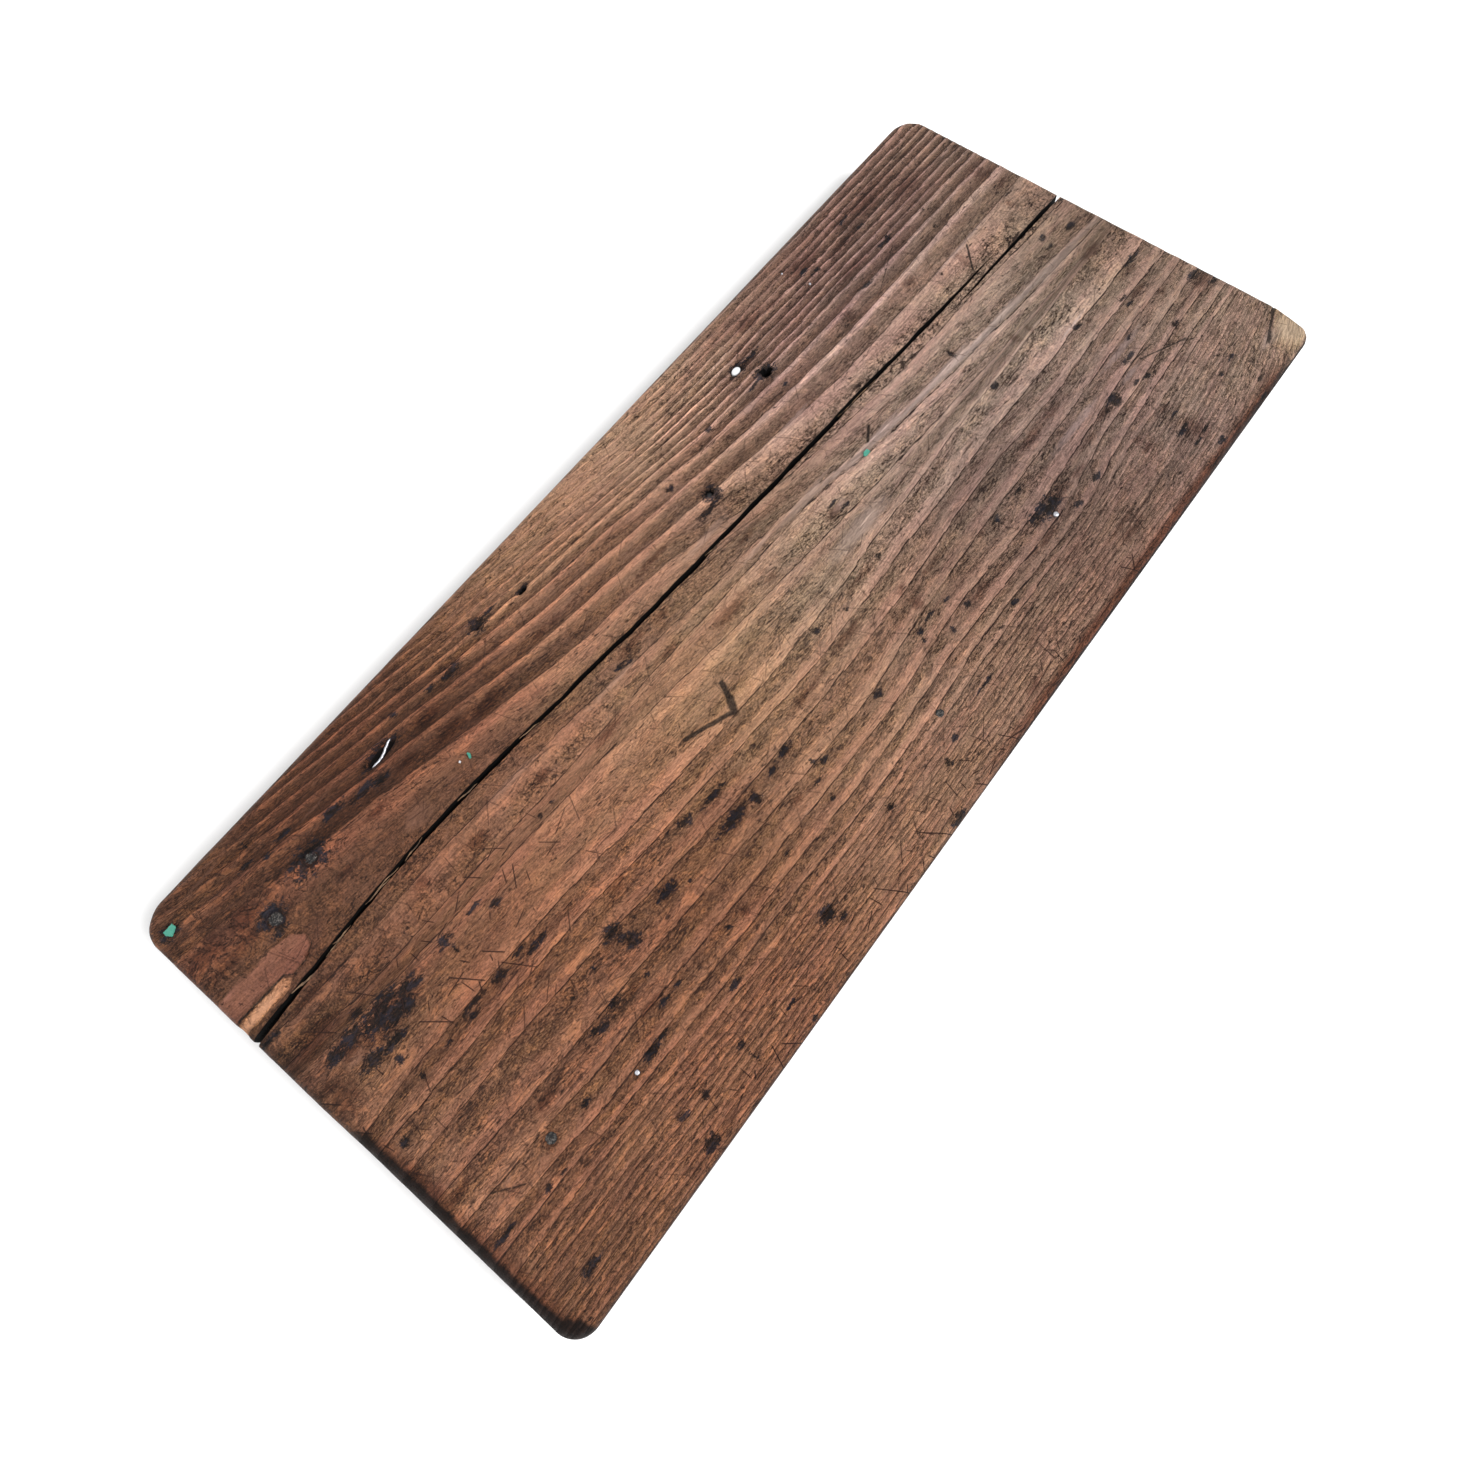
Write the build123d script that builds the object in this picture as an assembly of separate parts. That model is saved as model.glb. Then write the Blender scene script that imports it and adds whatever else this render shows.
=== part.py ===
from build123d import *
import os

# A worn offcut of timber scaffold board, with the old nails and dried paint still in it.
# Millimetres, +Z up.  The origin is the middle of the underside.  +X runs along the grain to
# the far end and +Y across to the left long edge.  Places on the board are given by hand as
# (along, across): along from the near end, across from the right long edge.

# ---- driving dimensions ------------------------------------------------------------------
LENGTH = 512.0
WIDTH = 225.0
THICKNESS = 38.0

CORNER_RADII = {"near_right": 10.0, "near_left": 13.0, "far_right": 9.0, "far_left": 12.0}
TOP_ARRIS = 3.0             # worn round the top edges
BOTTOM_ARRIS = 2.0          # less worn round the underside

PROUD = 1.0                 # how far a cutter stands out of the face it cuts

# The open drying cracks, as (along, across, width, depth) stations of a V-shaped groove.
MAIN_CRACK = [
    (-2.0, 156.0, 2.8, 24.0),
    (20.0, 157.2, 2.6, 24.0),
    (45.0, 159.0, 1.8, 22.0),
    (80.0, 160.4, 1.4, 20.0),
    (120.0, 159.2, 1.6, 20.0),
    (170.0, 155.4, 1.7, 20.0),
    (230.0, 150.8, 1.9, 21.0),
    (300.0, 147.2, 2.1, 21.0),
    (370.0, 144.2, 2.0, 20.0),
    (425.0, 141.3, 1.6, 16.0),
    (467.0, 139.4, 0.3, 3.0),
]
FAR_CRACK = [
    (416.0, 137.2, 0.3, 3.0),
    (448.0, 136.2, 1.3, 14.0),
    (480.0, 135.4, 2.0, 20.0),
    (514.0, 134.4, 2.1, 22.0),
]

# Nails and pins seen end-on in the top face: (along, across, diameter, length in the wood,
# how far the top of the metal lies below the face).
STRAIGHT_METAL = {
    "bright_nail_end": (360.0, 42.5, 2.6, 24.0, 0.5),
    "hole_nail_stub": (280.0, 167.0, 3.0, 20.0, 2.4),
    "glint_nail_stub": (79.0, 40.3, 2.0, 18.0, 0.3),
    "pin_end_outer": (394.0, 213.6, 1.0, 12.0, 0.2),
    "pin_end_inner": (397.0, 199.4, 1.2, 12.0, 0.2),
}
STUB_CLEARANCE = 0.4        # the wood has shrunk and rusted back round each one

# Flat-headed nails: (along, across, head diameter, shank diameter, shank length, depth).
HEADED_METAL = {
    "blackened_nail_head": (60.5, 189.5, 6.0, 2.6, 30.0, 0.7),
    "corroded_nail_head": (36.0, 183.5, 6.4, 2.8, 32.0, 0.8),
    "round_head_near": (44.0, 50.2, 4.8, 2.2, 28.0, 0.4),
    "round_head_edge": (256.0, 31.2, 4.0, 2.0, 25.0, 0.4),
}
HEAD_THICKNESS = 1.2

# Empty nail holes: (along, across, length along the grain, width, depth).
EMPTY_HOLES = [
    (344.5, 185.4, 5.0, 4.0, 16.0),
    (195.5, 200.6, 5.2, 2.2, 12.0),
]

# The filled nail hole: its oval along the grain, its wall and the filler's set-back.
FILLED_HOLE = (337.4, 197.2)
FILLED_HOLE_SIZE = (7.0, 4.6)
FILLER_SIZE = (5.2, 3.4)
FILLER_DEPTH = 8.0
FILLER_SET_BACK = 0.5
HOLE_RIM_DEPTH = 3.0

# Paint flecks, as small corner lists (along, across), and how thick the dried paint is.
TEAL_CORNER = [(5.9, 213.6), (10.6, 213.5), (10.7, 211.2), (7.4, 209.4), (5.9, 211.6)]
TEAL_MIDDLE = [(334.4, 124.2), (336.3, 125.6), (338.7, 125.2), (338.5, 123.2), (335.2, 122.9)]
TEAL_SMALL = [(128.4, 170.3), (129.2, 170.2), (129.5, 168.8), (128.3, 167.3), (127.5, 167.6)]
WHITE_SPECK = [(123.7, 170.3), (124.7, 170.4), (124.8, 169.5), (123.9, 169.3)]
PAINT_THICKNESS = 0.5
FLECK_HOLLOW = 0.6

# The gouge shaped like a hooked scratch: (along, across, width, depth).
GOUGE = [
    (186.5, 104.4, 1.0, 0.5),
    (196.0, 101.0, 1.9, 1.4),
    (207.0, 96.4, 2.0, 1.6),
    (210.5, 101.5, 3.2, 1.5),
    (213.6, 108.0, 0.8, 0.4),
]

# Where a strip of wood has lifted away beside the crack at the near end.
LIFTED_STRIP = [(-2.0, 160.4), (22.0, 159.8), (25.5, 162.4), (23.0, 165.2), (17.0, 166.4), (-2.0, 165.8)]
LIFTED_DEPTH = 1.2

# The clenched nail: where it comes up, where its point ends, and the hollow it lies in.
WIRE = 1.2                  # diameter of its shank
CLENCH_BEND = (100.6, 196.3)
CLENCH_MIDDLE = (106.5, 196.6)
CLENCH_POINT = (114.6, 199.6)
CLENCH_RADIUS = 1.6
CLENCH_HOLLOW = (107.4, 198.2, 17.0, 4.2)
CLENCH_HOLLOW_DEPTH = 1.9
CLENCH_FLOOR_GAP = 0.1
CLENCH_HEAD_DIAMETER = 3.2
CLENCH_HEAD_SUNK = 1.0      # how far its head is driven into the underside

# The broken corner at the far right: two points on the edges and how deep it has worn.
BROKEN_CORNER = [(512.0, 21.5), (465.0, 0.0)]
BROKEN_CORNER_DROP = 2.4


def spot(along, across, height=THICKNESS):
    """The point at a place on the board, in the board's own frame."""
    return Vector(along - LENGTH / 2, across - WIDTH / 2, height)


def slab(corners, bottom, top):
    """A straight-sided slab whose outline is a list of (along, across) corners."""
    outline = Polyline(*[spot(a, c, bottom) for a, c in corners], close=True)
    return extrude(make_face(outline), amount=top - bottom, dir=(0, 0, 1))


def oval(along, across, length, width, bottom, top):
    """An upright oval plug, its long axis along the grain."""
    face = Plane(spot(along, across, bottom)) * Ellipse(length / 2, width / 2)
    return extrude(face, amount=top - bottom)


def rod(along, across, diameter, bottom, top):
    """An upright round rod."""
    face = Plane(spot(along, across, bottom)) * Circle(diameter / 2)
    return extrude(face, amount=top - bottom)


def v_section(station, direction):
    """One V-shaped section of a groove, square to the groove's direction."""
    along, across, width, depth = station
    left = Vector(-direction.Y, direction.X, 0) * (width / 2) * (1 + PROUD / depth)
    lip = spot(along, across, THICKNESS + PROUD)
    root = spot(along, across, THICKNESS - depth)
    return make_face(Polyline(lip + left, root, lip - left, close=True))


def groove(stations):
    """A V-shaped groove through its stations, as one ruled solid."""
    places = [spot(s[0], s[1]) for s in stations]
    sections = []
    for index, station in enumerate(stations):
        before = places[max(index - 1, 0)]
        after = places[min(index + 1, len(places) - 1)]
        sections.append(v_section(station, (after - before).normalized()))
    return loft(sections, ruled=True)


def blank():
    """The sawn board with its worn corners and arrises, before any damage."""
    outline = Rectangle(LENGTH, WIDTH)
    for name, radius in CORNER_RADII.items():
        end, side = name.split("_")
        x = LENGTH / 2 if end == "far" else -LENGTH / 2
        y = WIDTH / 2 if side == "left" else -WIDTH / 2
        corner = outline.vertices().sort_by_distance((x, y, 0))[0]
        outline = fillet(corner, radius)
    body = extrude(outline, amount=THICKNESS)
    body = fillet(body.faces().sort_by(Axis.Z)[-1].edges(), TOP_ARRIS)
    return fillet(body.faces().sort_by(Axis.Z)[0].edges(), BOTTOM_ARRIS)


def broken_corner_cutter():
    """Everything above the sloping face that the broken corner has left."""
    on_end = spot(*BROKEN_CORNER[0])
    on_edge = spot(*BROKEN_CORNER[1])
    low = spot(LENGTH, 0.0, THICKNESS - BROKEN_CORNER_DROP)
    upward = (on_edge - on_end).cross(low - on_end).normalized()
    slope = Plane(origin=on_end, x_dir=on_edge - on_end, z_dir=upward)
    return extrude(slope * Rectangle(WIDTH, WIDTH), amount=THICKNESS)


def clenched_nail():
    """The bent nail: head on the underside, shank up through the board, point laid over."""
    lie = THICKNESS - CLENCH_HOLLOW_DEPTH + WIRE / 2 + CLENCH_FLOOR_GAP
    head_top = CLENCH_HEAD_SUNK + HEAD_THICKNESS
    route = [
        spot(*CLENCH_BEND, head_top),
        spot(*CLENCH_BEND, lie),
        spot(*CLENCH_MIDDLE, lie),
        spot(*CLENCH_POINT, lie),
    ]
    path = FilletPolyline(*route, radius=CLENCH_RADIUS)
    shank = sweep(Plane(route[0]) * Circle(WIRE / 2), path=path)
    return shank + rod(*CLENCH_BEND, CLENCH_HEAD_DIAMETER, CLENCH_HEAD_SUNK, head_top)


def straight_metal(name):
    """A broken nail or pin, its end a little below the top face."""
    along, across, diameter, length, depth = STRAIGHT_METAL[name]
    top = THICKNESS - depth
    body = rod(along, across, diameter, top - length, top)
    return chamfer(body.faces().sort_by(Axis.Z)[-1].edges(), diameter / 8)


def headed_metal(name):
    """A flat-headed nail, its head a little below the top face."""
    along, across, head, shank, length, depth = HEADED_METAL[name]
    top = THICKNESS - depth
    disc = rod(along, across, head, top - HEAD_THICKNESS, top)
    disc = fillet(disc.faces().sort_by(Axis.Z)[-1].edges(), HEAD_THICKNESS / 3)
    return disc + rod(along, across, shank, top - length, top - HEAD_THICKNESS)


def metal_seats():
    """The wood that each nail and pin takes away, with the little hollow above it."""
    seats = []
    for along, across, diameter, length, depth in STRAIGHT_METAL.values():
        top = THICKNESS - depth
        seats.append(rod(along, across, diameter, top - length, THICKNESS))
        rim = diameter + 2 * STUB_CLEARANCE
        seats.append(rod(along, across, rim, top - diameter / 2, THICKNESS + PROUD))
    for along, across, head, shank, length, depth in HEADED_METAL.values():
        top = THICKNESS - depth
        seats.append(rod(along, across, shank, top - length, THICKNESS))
        seats.append(rod(along, across, head + STUB_CLEARANCE, top - HEAD_THICKNESS, THICKNESS + PROUD))
    seats.append(rod(*CLENCH_BEND, CLENCH_HEAD_DIAMETER, -PROUD, CLENCH_HEAD_SUNK))
    seats.append(clenched_nail())
    return seats


def fleck(corners):
    """A dried fleck of paint in its own shallow hollow."""
    floor = THICKNESS - FLECK_HOLLOW
    return slab(corners, floor, floor + PAINT_THICKNESS)


def white_filler():
    """White filler standing a little back in an old nail hole."""
    top = THICKNESS - FILLER_SET_BACK
    return oval(*FILLED_HOLE, *FILLER_SIZE, THICKNESS - FILLER_DEPTH, top)


def board():
    """The timber itself, with its cracks, holes, hollows and broken places."""
    body = blank()
    cutters = [groove(MAIN_CRACK), groove(FAR_CRACK), groove(GOUGE)]
    cutters.append(slab(LIFTED_STRIP, THICKNESS - LIFTED_DEPTH, THICKNESS + PROUD))
    cutters.append(broken_corner_cutter())
    for along, across, length, width, depth in EMPTY_HOLES:
        cutters.append(oval(along, across, length, width, THICKNESS - depth, THICKNESS + PROUD))
    cutters.append(oval(*FILLED_HOLE, *FILLED_HOLE_SIZE, THICKNESS - HOLE_RIM_DEPTH, THICKNESS + PROUD))
    cutters.append(oval(*FILLED_HOLE, *FILLER_SIZE, THICKNESS - FILLER_DEPTH, THICKNESS))
    along, across, length, width = CLENCH_HOLLOW
    cutters.append(oval(along, across, length, width, THICKNESS - CLENCH_HOLLOW_DEPTH, THICKNESS + PROUD))
    for corners in (TEAL_CORNER, TEAL_MIDDLE, TEAL_SMALL, WHITE_SPECK):
        cutters.append(slab(corners, THICKNESS - FLECK_HOLLOW, THICKNESS + PROUD))
    cutters.extend(metal_seats())
    for cutter in cutters:
        body = body - cutter
    return body


def save(shape, name):
    """Write one sub-part as its own STEP file."""
    export_step(shape, f"parts/{name}.step")


os.makedirs("parts", exist_ok=True)
save(board(), "board")
save(clenched_nail(), "clenched_nail")
for metal_name in STRAIGHT_METAL:
    save(straight_metal(metal_name), metal_name)
for metal_name in HEADED_METAL:
    save(headed_metal(metal_name), metal_name)
save(white_filler(), "white_filler")
save(fleck(TEAL_CORNER), "teal_paint_corner")
save(fleck(TEAL_MIDDLE), "teal_paint_middle")
save(fleck(TEAL_SMALL), "teal_paint_small")
save(fleck(WHITE_SPECK), "white_paint_speck")
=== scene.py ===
from math import cos, pi, radians, sin
from types import SimpleNamespace

import bmesh
import bpy
import numpy as np
from mathutils import Matrix, Vector


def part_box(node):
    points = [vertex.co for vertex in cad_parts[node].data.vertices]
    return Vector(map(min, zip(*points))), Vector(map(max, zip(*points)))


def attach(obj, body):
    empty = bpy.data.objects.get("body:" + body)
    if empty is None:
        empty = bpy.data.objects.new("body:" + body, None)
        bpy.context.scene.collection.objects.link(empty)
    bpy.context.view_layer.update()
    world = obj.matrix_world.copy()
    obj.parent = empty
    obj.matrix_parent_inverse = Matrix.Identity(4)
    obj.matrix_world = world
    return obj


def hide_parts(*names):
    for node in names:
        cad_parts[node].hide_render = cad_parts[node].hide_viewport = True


# A worn offcut of scaffold board.  Shapes are worked out in millimetres as (along, across, height):
# along from the near end, across from the right long edge, height from the underside.  The mesh
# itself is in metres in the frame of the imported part.

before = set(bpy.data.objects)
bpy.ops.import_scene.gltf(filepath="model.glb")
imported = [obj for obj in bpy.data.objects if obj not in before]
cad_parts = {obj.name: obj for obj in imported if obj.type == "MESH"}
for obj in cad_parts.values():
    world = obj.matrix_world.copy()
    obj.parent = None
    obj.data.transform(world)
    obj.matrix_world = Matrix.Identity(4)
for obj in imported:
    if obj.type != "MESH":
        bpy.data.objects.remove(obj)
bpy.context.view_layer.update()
board_low, board_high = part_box("board")

MM = 0.001
LENGTH = (board_high.x - board_low.x) / MM
WIDTH = (board_high.y - board_low.y) / MM
THICKNESS = (board_high.z - board_low.z) / MM

# ---- the grain ---------------------------------------------------------------------------
# Ring boundaries as read along the top face: how far across each one lies at these stations.
STATIONS = (0, 60, 120, 180, 240, 300, 360, 420, 480, 540)
RINGS_TO_RIGHT = [
    (103, 104, 101.5, 96.5, 94, 96, 99, 101, 103, 104),
    (94, 93.5, 91, 86.5, 83.3, 84, 86, 86, 87.6, 87.5),
    (82, 81.5, 78, 73, 71.8, 73.5, 76.5, 75.5, 77, 76.5),
    (67.5, 64.5, 62, 59.5, 58, 61.5, 63.5, 65, 68, 69.5),
    (55, 52.6, 50.3, 48.5, 47.5, 51, 50.5, 55, 58.5, 58.5),
    (46.5, 43, 41.7, 39.9, 39.5, 42, 41.3, 48, 51, 52),
    (38.5, 37, 34.8, 33.7, 33, 35.5, 34.5, 40.5, 44, 47),
    (31.5, 31, 28.7, 28, 28, 30, 31, 35, 38.5, 42),
]
RIGHT_OUTER_RING = (2, 2, 2, 2, 2, 2.5, 3.5, 5, 12, 26)
RIGHT_OUTER_COUNT = 11
RINGS_TO_LEFT = [
    (136, 131, 127.5, 123.8, 118.5, 113.5, 109.5, 107, 105.5, 105.3),
    (141, 137, 134.5, 133, 131.3, 129, 120.8, 115.8, 112, 109),
    (152, 151, 149.5, 144, 138, 132.5, 124.5, 119.5, 115.5, 113),
    (203, 192, 180, 167.5, 160.5, 146, 138.5, 135.2, 132, 130),
    (214, 203, 191, 179.5, 172, 164, 157.3, 155.5, 155.5, 155.5),
    (221, 210, 200.5, 189.5, 182.5, 174.5, 169.5, 168, 168.3, 168),
    (226, 216, 206.5, 197, 190, 183, 179, 178, 176, 175),
    (231, 221.5, 212.5, 203, 196, 189, 186, 184.5, 183, 181.5),
]
LEFT_OUTER_RING = (262, 253, 245, 236, 227, 220, 218.5, 217.5, 217, 216.5)
LEFT_OUTER_COUNT = 8
BAND_MIDDLE = 2.5           # the ring whose late wood shows as one pale band on the far half
BAND_HALF = 0.42

# ---- the drying cracks: (along, across, width, depth) -------------------------------------
MAIN_CRACK = [
    (-5, 155.9, 3.3, 24), (20, 157.2, 3.0, 24), (45, 159.0, 2.4, 22), (80, 160.4, 2.4, 20),
    (120, 159.2, 2.4, 20), (170, 155.4, 2.2, 20), (230, 150.8, 2.3, 21), (300, 147.2, 2.5, 21),
    (370, 144.2, 2.4, 20), (425, 141.3, 1.9, 16), (452, 140.1, 0.9, 8), (468, 139.4, 0.0, 0),
]
FAR_CRACK = [
    (414, 137.3, 0.0, 0), (430, 136.8, 0.5, 4), (448, 136.2, 1.3, 14), (480, 135.4, 2.0, 20),
    (517, 134.3, 2.1, 22),
]
CLOSED_CRACK = 0.12         # how wide the rows of a closed crack still are

# ---- how finely the board is meshed ------------------------------------------------------
COLUMN_STEP = 2.1
EDGE_STEPS = np.array([0.0, 0.15, 0.5, 1.1, 1.9, 2.9, 4.0])    # in from the edge, over its rounding
RING_STEPS = (0.03, 0.16, 0.3, 0.45, 0.6, 0.74, 0.87, 0.96)    # shares of a wide ring
NARROW_RING_STEPS = (0.03, 0.38, 0.7, 0.94)
ROWS_TO_RIGHT_OF_CRACKS = 27
ROWS_BETWEEN_CRACKS = 8
ROWS_TO_LEFT_OF_CRACKS = 28
CLOSEST_ROWS = 0.35
SIDE_LEVELS = 13
BOTTOM_ARRIS = 2.0
BOTTOM_ARRIS_STEPS = 5
CORNERS = {
    ("near", "right"): 10.0, ("near", "left"): 13.0, ("far", "right"): 9.0, ("far", "left"): 12.0,
}
TOP_LEVEL = THICKNESS - 0.25
FACE_GAP = 0.02             # how far the highest ridges stay below the full thickness
PITH = (118.0, -25.0)       # the middle of the log, (across, height): it lay below this board
BODY_RING = 3.2             # ring width inside the board


def spread(points, value, spots):
    """A smooth curve through a few stations, read at many spots."""
    points = np.asarray(points, float)
    value = np.asarray(value, float)
    slope = np.gradient(value, points)
    i = np.clip(np.searchsorted(points, spots) - 1, 0, len(points) - 2)
    gap = points[i + 1] - points[i]
    t = np.clip((spots - points[i]) / gap, 0, 1)
    a = (2 * t - 3) * t * t + 1
    b = (3 - 2 * t) * t * t
    c = ((t - 2) * t + 1) * t * gap
    d = (t - 1) * t * t * gap
    return a * value[i] + b * value[i + 1] + c * slope[i] + d * slope[i + 1]


def smooth(low, high, x):
    """0 below low, 1 above high, and a smooth step between."""
    t = np.clip((x - low) / (high - low), 0, 1)
    return t * t * (3 - 2 * t)


def lattice(ix, iy, seed):
    """A steady random number from -1 to 1 for each point of a lattice."""
    h = (ix * 374761393 + iy * 668265263 + seed * 982451653) & 0xFFFFFFFF
    h = ((h ^ (h >> 13)) * 1274126177) & 0xFFFFFFFF
    h = ((h ^ (h >> 15)) * 2246822519) & 0xFFFFFFFF
    return ((h ^ (h >> 16)) & 0xFFFF) / 32767.5 - 1


def noise(x, y, seed):
    """Smooth random waves, one cell wide, from about -1 to 1."""
    ix = np.floor(x).astype(np.int64)
    iy = np.floor(y).astype(np.int64)
    u = x - ix
    v = y - iy
    u = u * u * (3 - 2 * u)
    v = v * v * (3 - 2 * v)
    low = lattice(ix, iy, seed) * (1 - u) + lattice(ix + 1, iy, seed) * u
    high = lattice(ix, iy + 1, seed) * (1 - u) + lattice(ix + 1, iy + 1, seed) * u
    return low * (1 - v) + high * v


def layers(x, y, seed, count=3):
    """Random waves with finer waves added."""
    total = np.zeros(np.broadcast(x, y).shape)
    size = 0.0
    for octave in range(count):
        total = total + noise(x * 2 ** octave, y * 2 ** octave, seed + octave) / 1.8 ** octave
        size += 1 / 1.8 ** octave
    return total / size


# ---- grain coordinates -------------------------------------------------------------------
def ring_guides():
    """Each guide: its ring number and how far across it lies at the stations.  The numbers grow
    outwards from the middle of the board, negative to the right and positive to the left."""
    guides = [(-(len(RINGS_TO_RIGHT) + RIGHT_OUTER_COUNT), RIGHT_OUTER_RING)]
    for index in range(len(RINGS_TO_RIGHT), 0, -1):
        guides.append((-index, RINGS_TO_RIGHT[index - 1]))
    for index, ring in enumerate(RINGS_TO_LEFT):
        guides.append((index + 1, ring))
    guides.append((len(RINGS_TO_LEFT) + LEFT_OUTER_COUNT, LEFT_OUTER_RING))
    return guides


GUIDES = ring_guides()
REFERENCE_STATION = STATIONS.index(240)


def grain_wave(along, across):
    """How far the grain wavers to one side."""
    return 0.55 * noise(along / 34, across / 9, 11) + 0.22 * noise(along / 11, across / 4, 12)


def ring_line(number, along):
    """How far across a line of one ring number lies."""
    numbers = [g[0] for g in GUIDES]
    low = int(np.clip(np.searchsorted(numbers, number) - 1, 0, len(GUIDES) - 2))
    t = (number - numbers[low]) / (numbers[low + 1] - numbers[low])
    before = spread(STATIONS, GUIDES[low][1], along)
    after = spread(STATIONS, GUIDES[low + 1][1], along)
    line = (1 - t) * before + t * after
    return line - grain_wave(along, line)


def grain(along, across):
    """(ring number, grain line in mm, ring width in mm) at places on the top face."""
    across = across + grain_wave(along, across)
    numbers = np.array([g[0] for g in GUIDES], float)
    lines = np.array([spread(STATIONS, g[1], along) for g in GUIDES])
    low = np.clip((across[None, :] > lines).sum(0) - 1, 0, len(GUIDES) - 2)
    pick = np.arange(len(along))
    start = lines[low, pick]
    gap = np.maximum(lines[low + 1, pick] - start, 0.5)
    t = (across - start) / gap
    number = numbers[low] + t * (numbers[low + 1] - numbers[low])
    home = np.array([g[1][REFERENCE_STATION] for g in GUIDES], float)
    line = home[low] + t * (home[low + 1] - home[low])
    width = gap / (numbers[low + 1] - numbers[low])
    return number, line, width


def crack_line(crack, along):
    """(across, width, depth) of a crack at places along the board, with its ragged edges."""
    stations = [s[0] for s in crack]
    across = spread(stations, [s[1] for s in crack], along)
    width = np.interp(along, stations, [s[2] for s in crack])
    depth = np.interp(along, stations, [s[3] for s in crack])
    across = across + 0.28 * noise(along / 13, along * 0, 21) + 0.12 * noise(along / 3.7, along * 0, 22)
    width = width * (1 + 0.14 * noise(along / 9, along * 0, 23) + 0.07 * noise(along / 2.9, along * 0, 24))
    return across, width, depth


def crack_drop(along, across):
    """How far the open cracks fall below the face."""
    drop = np.zeros(len(along))
    for crack in (MAIN_CRACK, FAR_CRACK):
        centre, width, depth = crack_line(crack, along)
        share = np.clip(1 - np.abs(across - centre) / np.maximum(width / 2, 0.01), 0, 1)
        drop = np.maximum(drop, depth * share ** 0.8 * (width > 0.02))
    return drop


# ---- plan of the board -------------------------------------------------------------------
def edge_distance(along, across):
    """Distance in from the rounded outline of the board."""
    near = along < LENGTH / 2
    right = across < WIDTH / 2
    radius = np.select(
        [near & right, near & ~right, ~near & right],
        [CORNERS["near", "right"], CORNERS["near", "left"], CORNERS["far", "right"]],
        CORNERS["far", "left"],
    )
    x = np.abs(along - LENGTH / 2) - LENGTH / 2 + radius
    y = np.abs(across - WIDTH / 2) - WIDTH / 2 + radius
    outside = np.hypot(np.maximum(x, 0), np.maximum(y, 0))
    return radius - outside - np.minimum(np.maximum(x, y), 0)


def round_corners(along, across):
    """Bends the square corners of a grid onto the rounded outline."""
    along = along.copy()
    across = across.copy()
    for (end, side), radius in CORNERS.items():
        x = along if end == "near" else LENGTH - along
        y = across if side == "right" else WIDTH - across
        s = (radius - x) / radius
        t = (radius - y) / radius
        inside = (s > 0) & (t > 0)
        new_x = radius * (1 - s * np.sqrt(1 - t * t / 2))
        new_y = radius * (1 - t * np.sqrt(1 - s * s / 2))
        if end == "far":
            new_x = LENGTH - new_x
        if side == "left":
            new_y = WIDTH - new_y
        along[inside] = new_x[inside]
        across[inside] = new_y[inside]
    return along, across


def arris_radius(along, across):
    """How round the top edge has worn: most at the near end, least at the far end."""
    near = smooth(30, 0, along) * (4.6 - 1.4 * smooth(95, 125, across))
    right = smooth(20, 0, across) * 3.4
    left = smooth(WIDTH - 20, WIDTH, across) * 4.4
    far = smooth(LENGTH - 20, LENGTH, along) * 3.0
    return np.maximum.reduce([near, right, left, far, np.full(len(along), 2.6)])


def arris_drop(along, across):
    """How far the worn round edge falls below the face."""
    radius = arris_radius(along, across)
    inside = np.clip(radius - edge_distance(along, across), 0, radius)
    return radius - np.sqrt(np.maximum(radius ** 2 - inside ** 2, 0))


def height(along, across):
    """The height of the top face."""
    number, line, width = grain(along, across)
    part = np.abs(number) % 1.0
    low = crest_start(along, across) - 0.1
    ridge = smooth(low, low + 0.42, part) * (1 - smooth(0.965, 1.0, part)) - 0.4
    strength = 0.16 + 0.18 * smooth(3, 9, width) + 0.30 * smooth(140, 165, across)
    strength = strength * (0.3 + 0.7 * smooth(0.5, 7, edge_distance(along, across)))
    strength = strength * (1 - 0.6 * smooth(60, 30, across) * smooth(330, 440, along))
    strength = strength * (1 - 0.5 * pale_edge(along, across))
    relief = ridge * strength
    relief = relief + 0.10 * layers(along / 9, line / 1.6, 31) + 0.12 * layers(along / 40, line / 14, 34, 2)
    face = np.minimum(TOP_LEVEL + relief + SLIVER_RISE * sliver_share(along, across), THICKNESS - FACE_GAP)
    dug = np.maximum(crack_drop(along, across), damage_drop(along, across))
    return face - arris_drop(along, across) - dug


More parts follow.
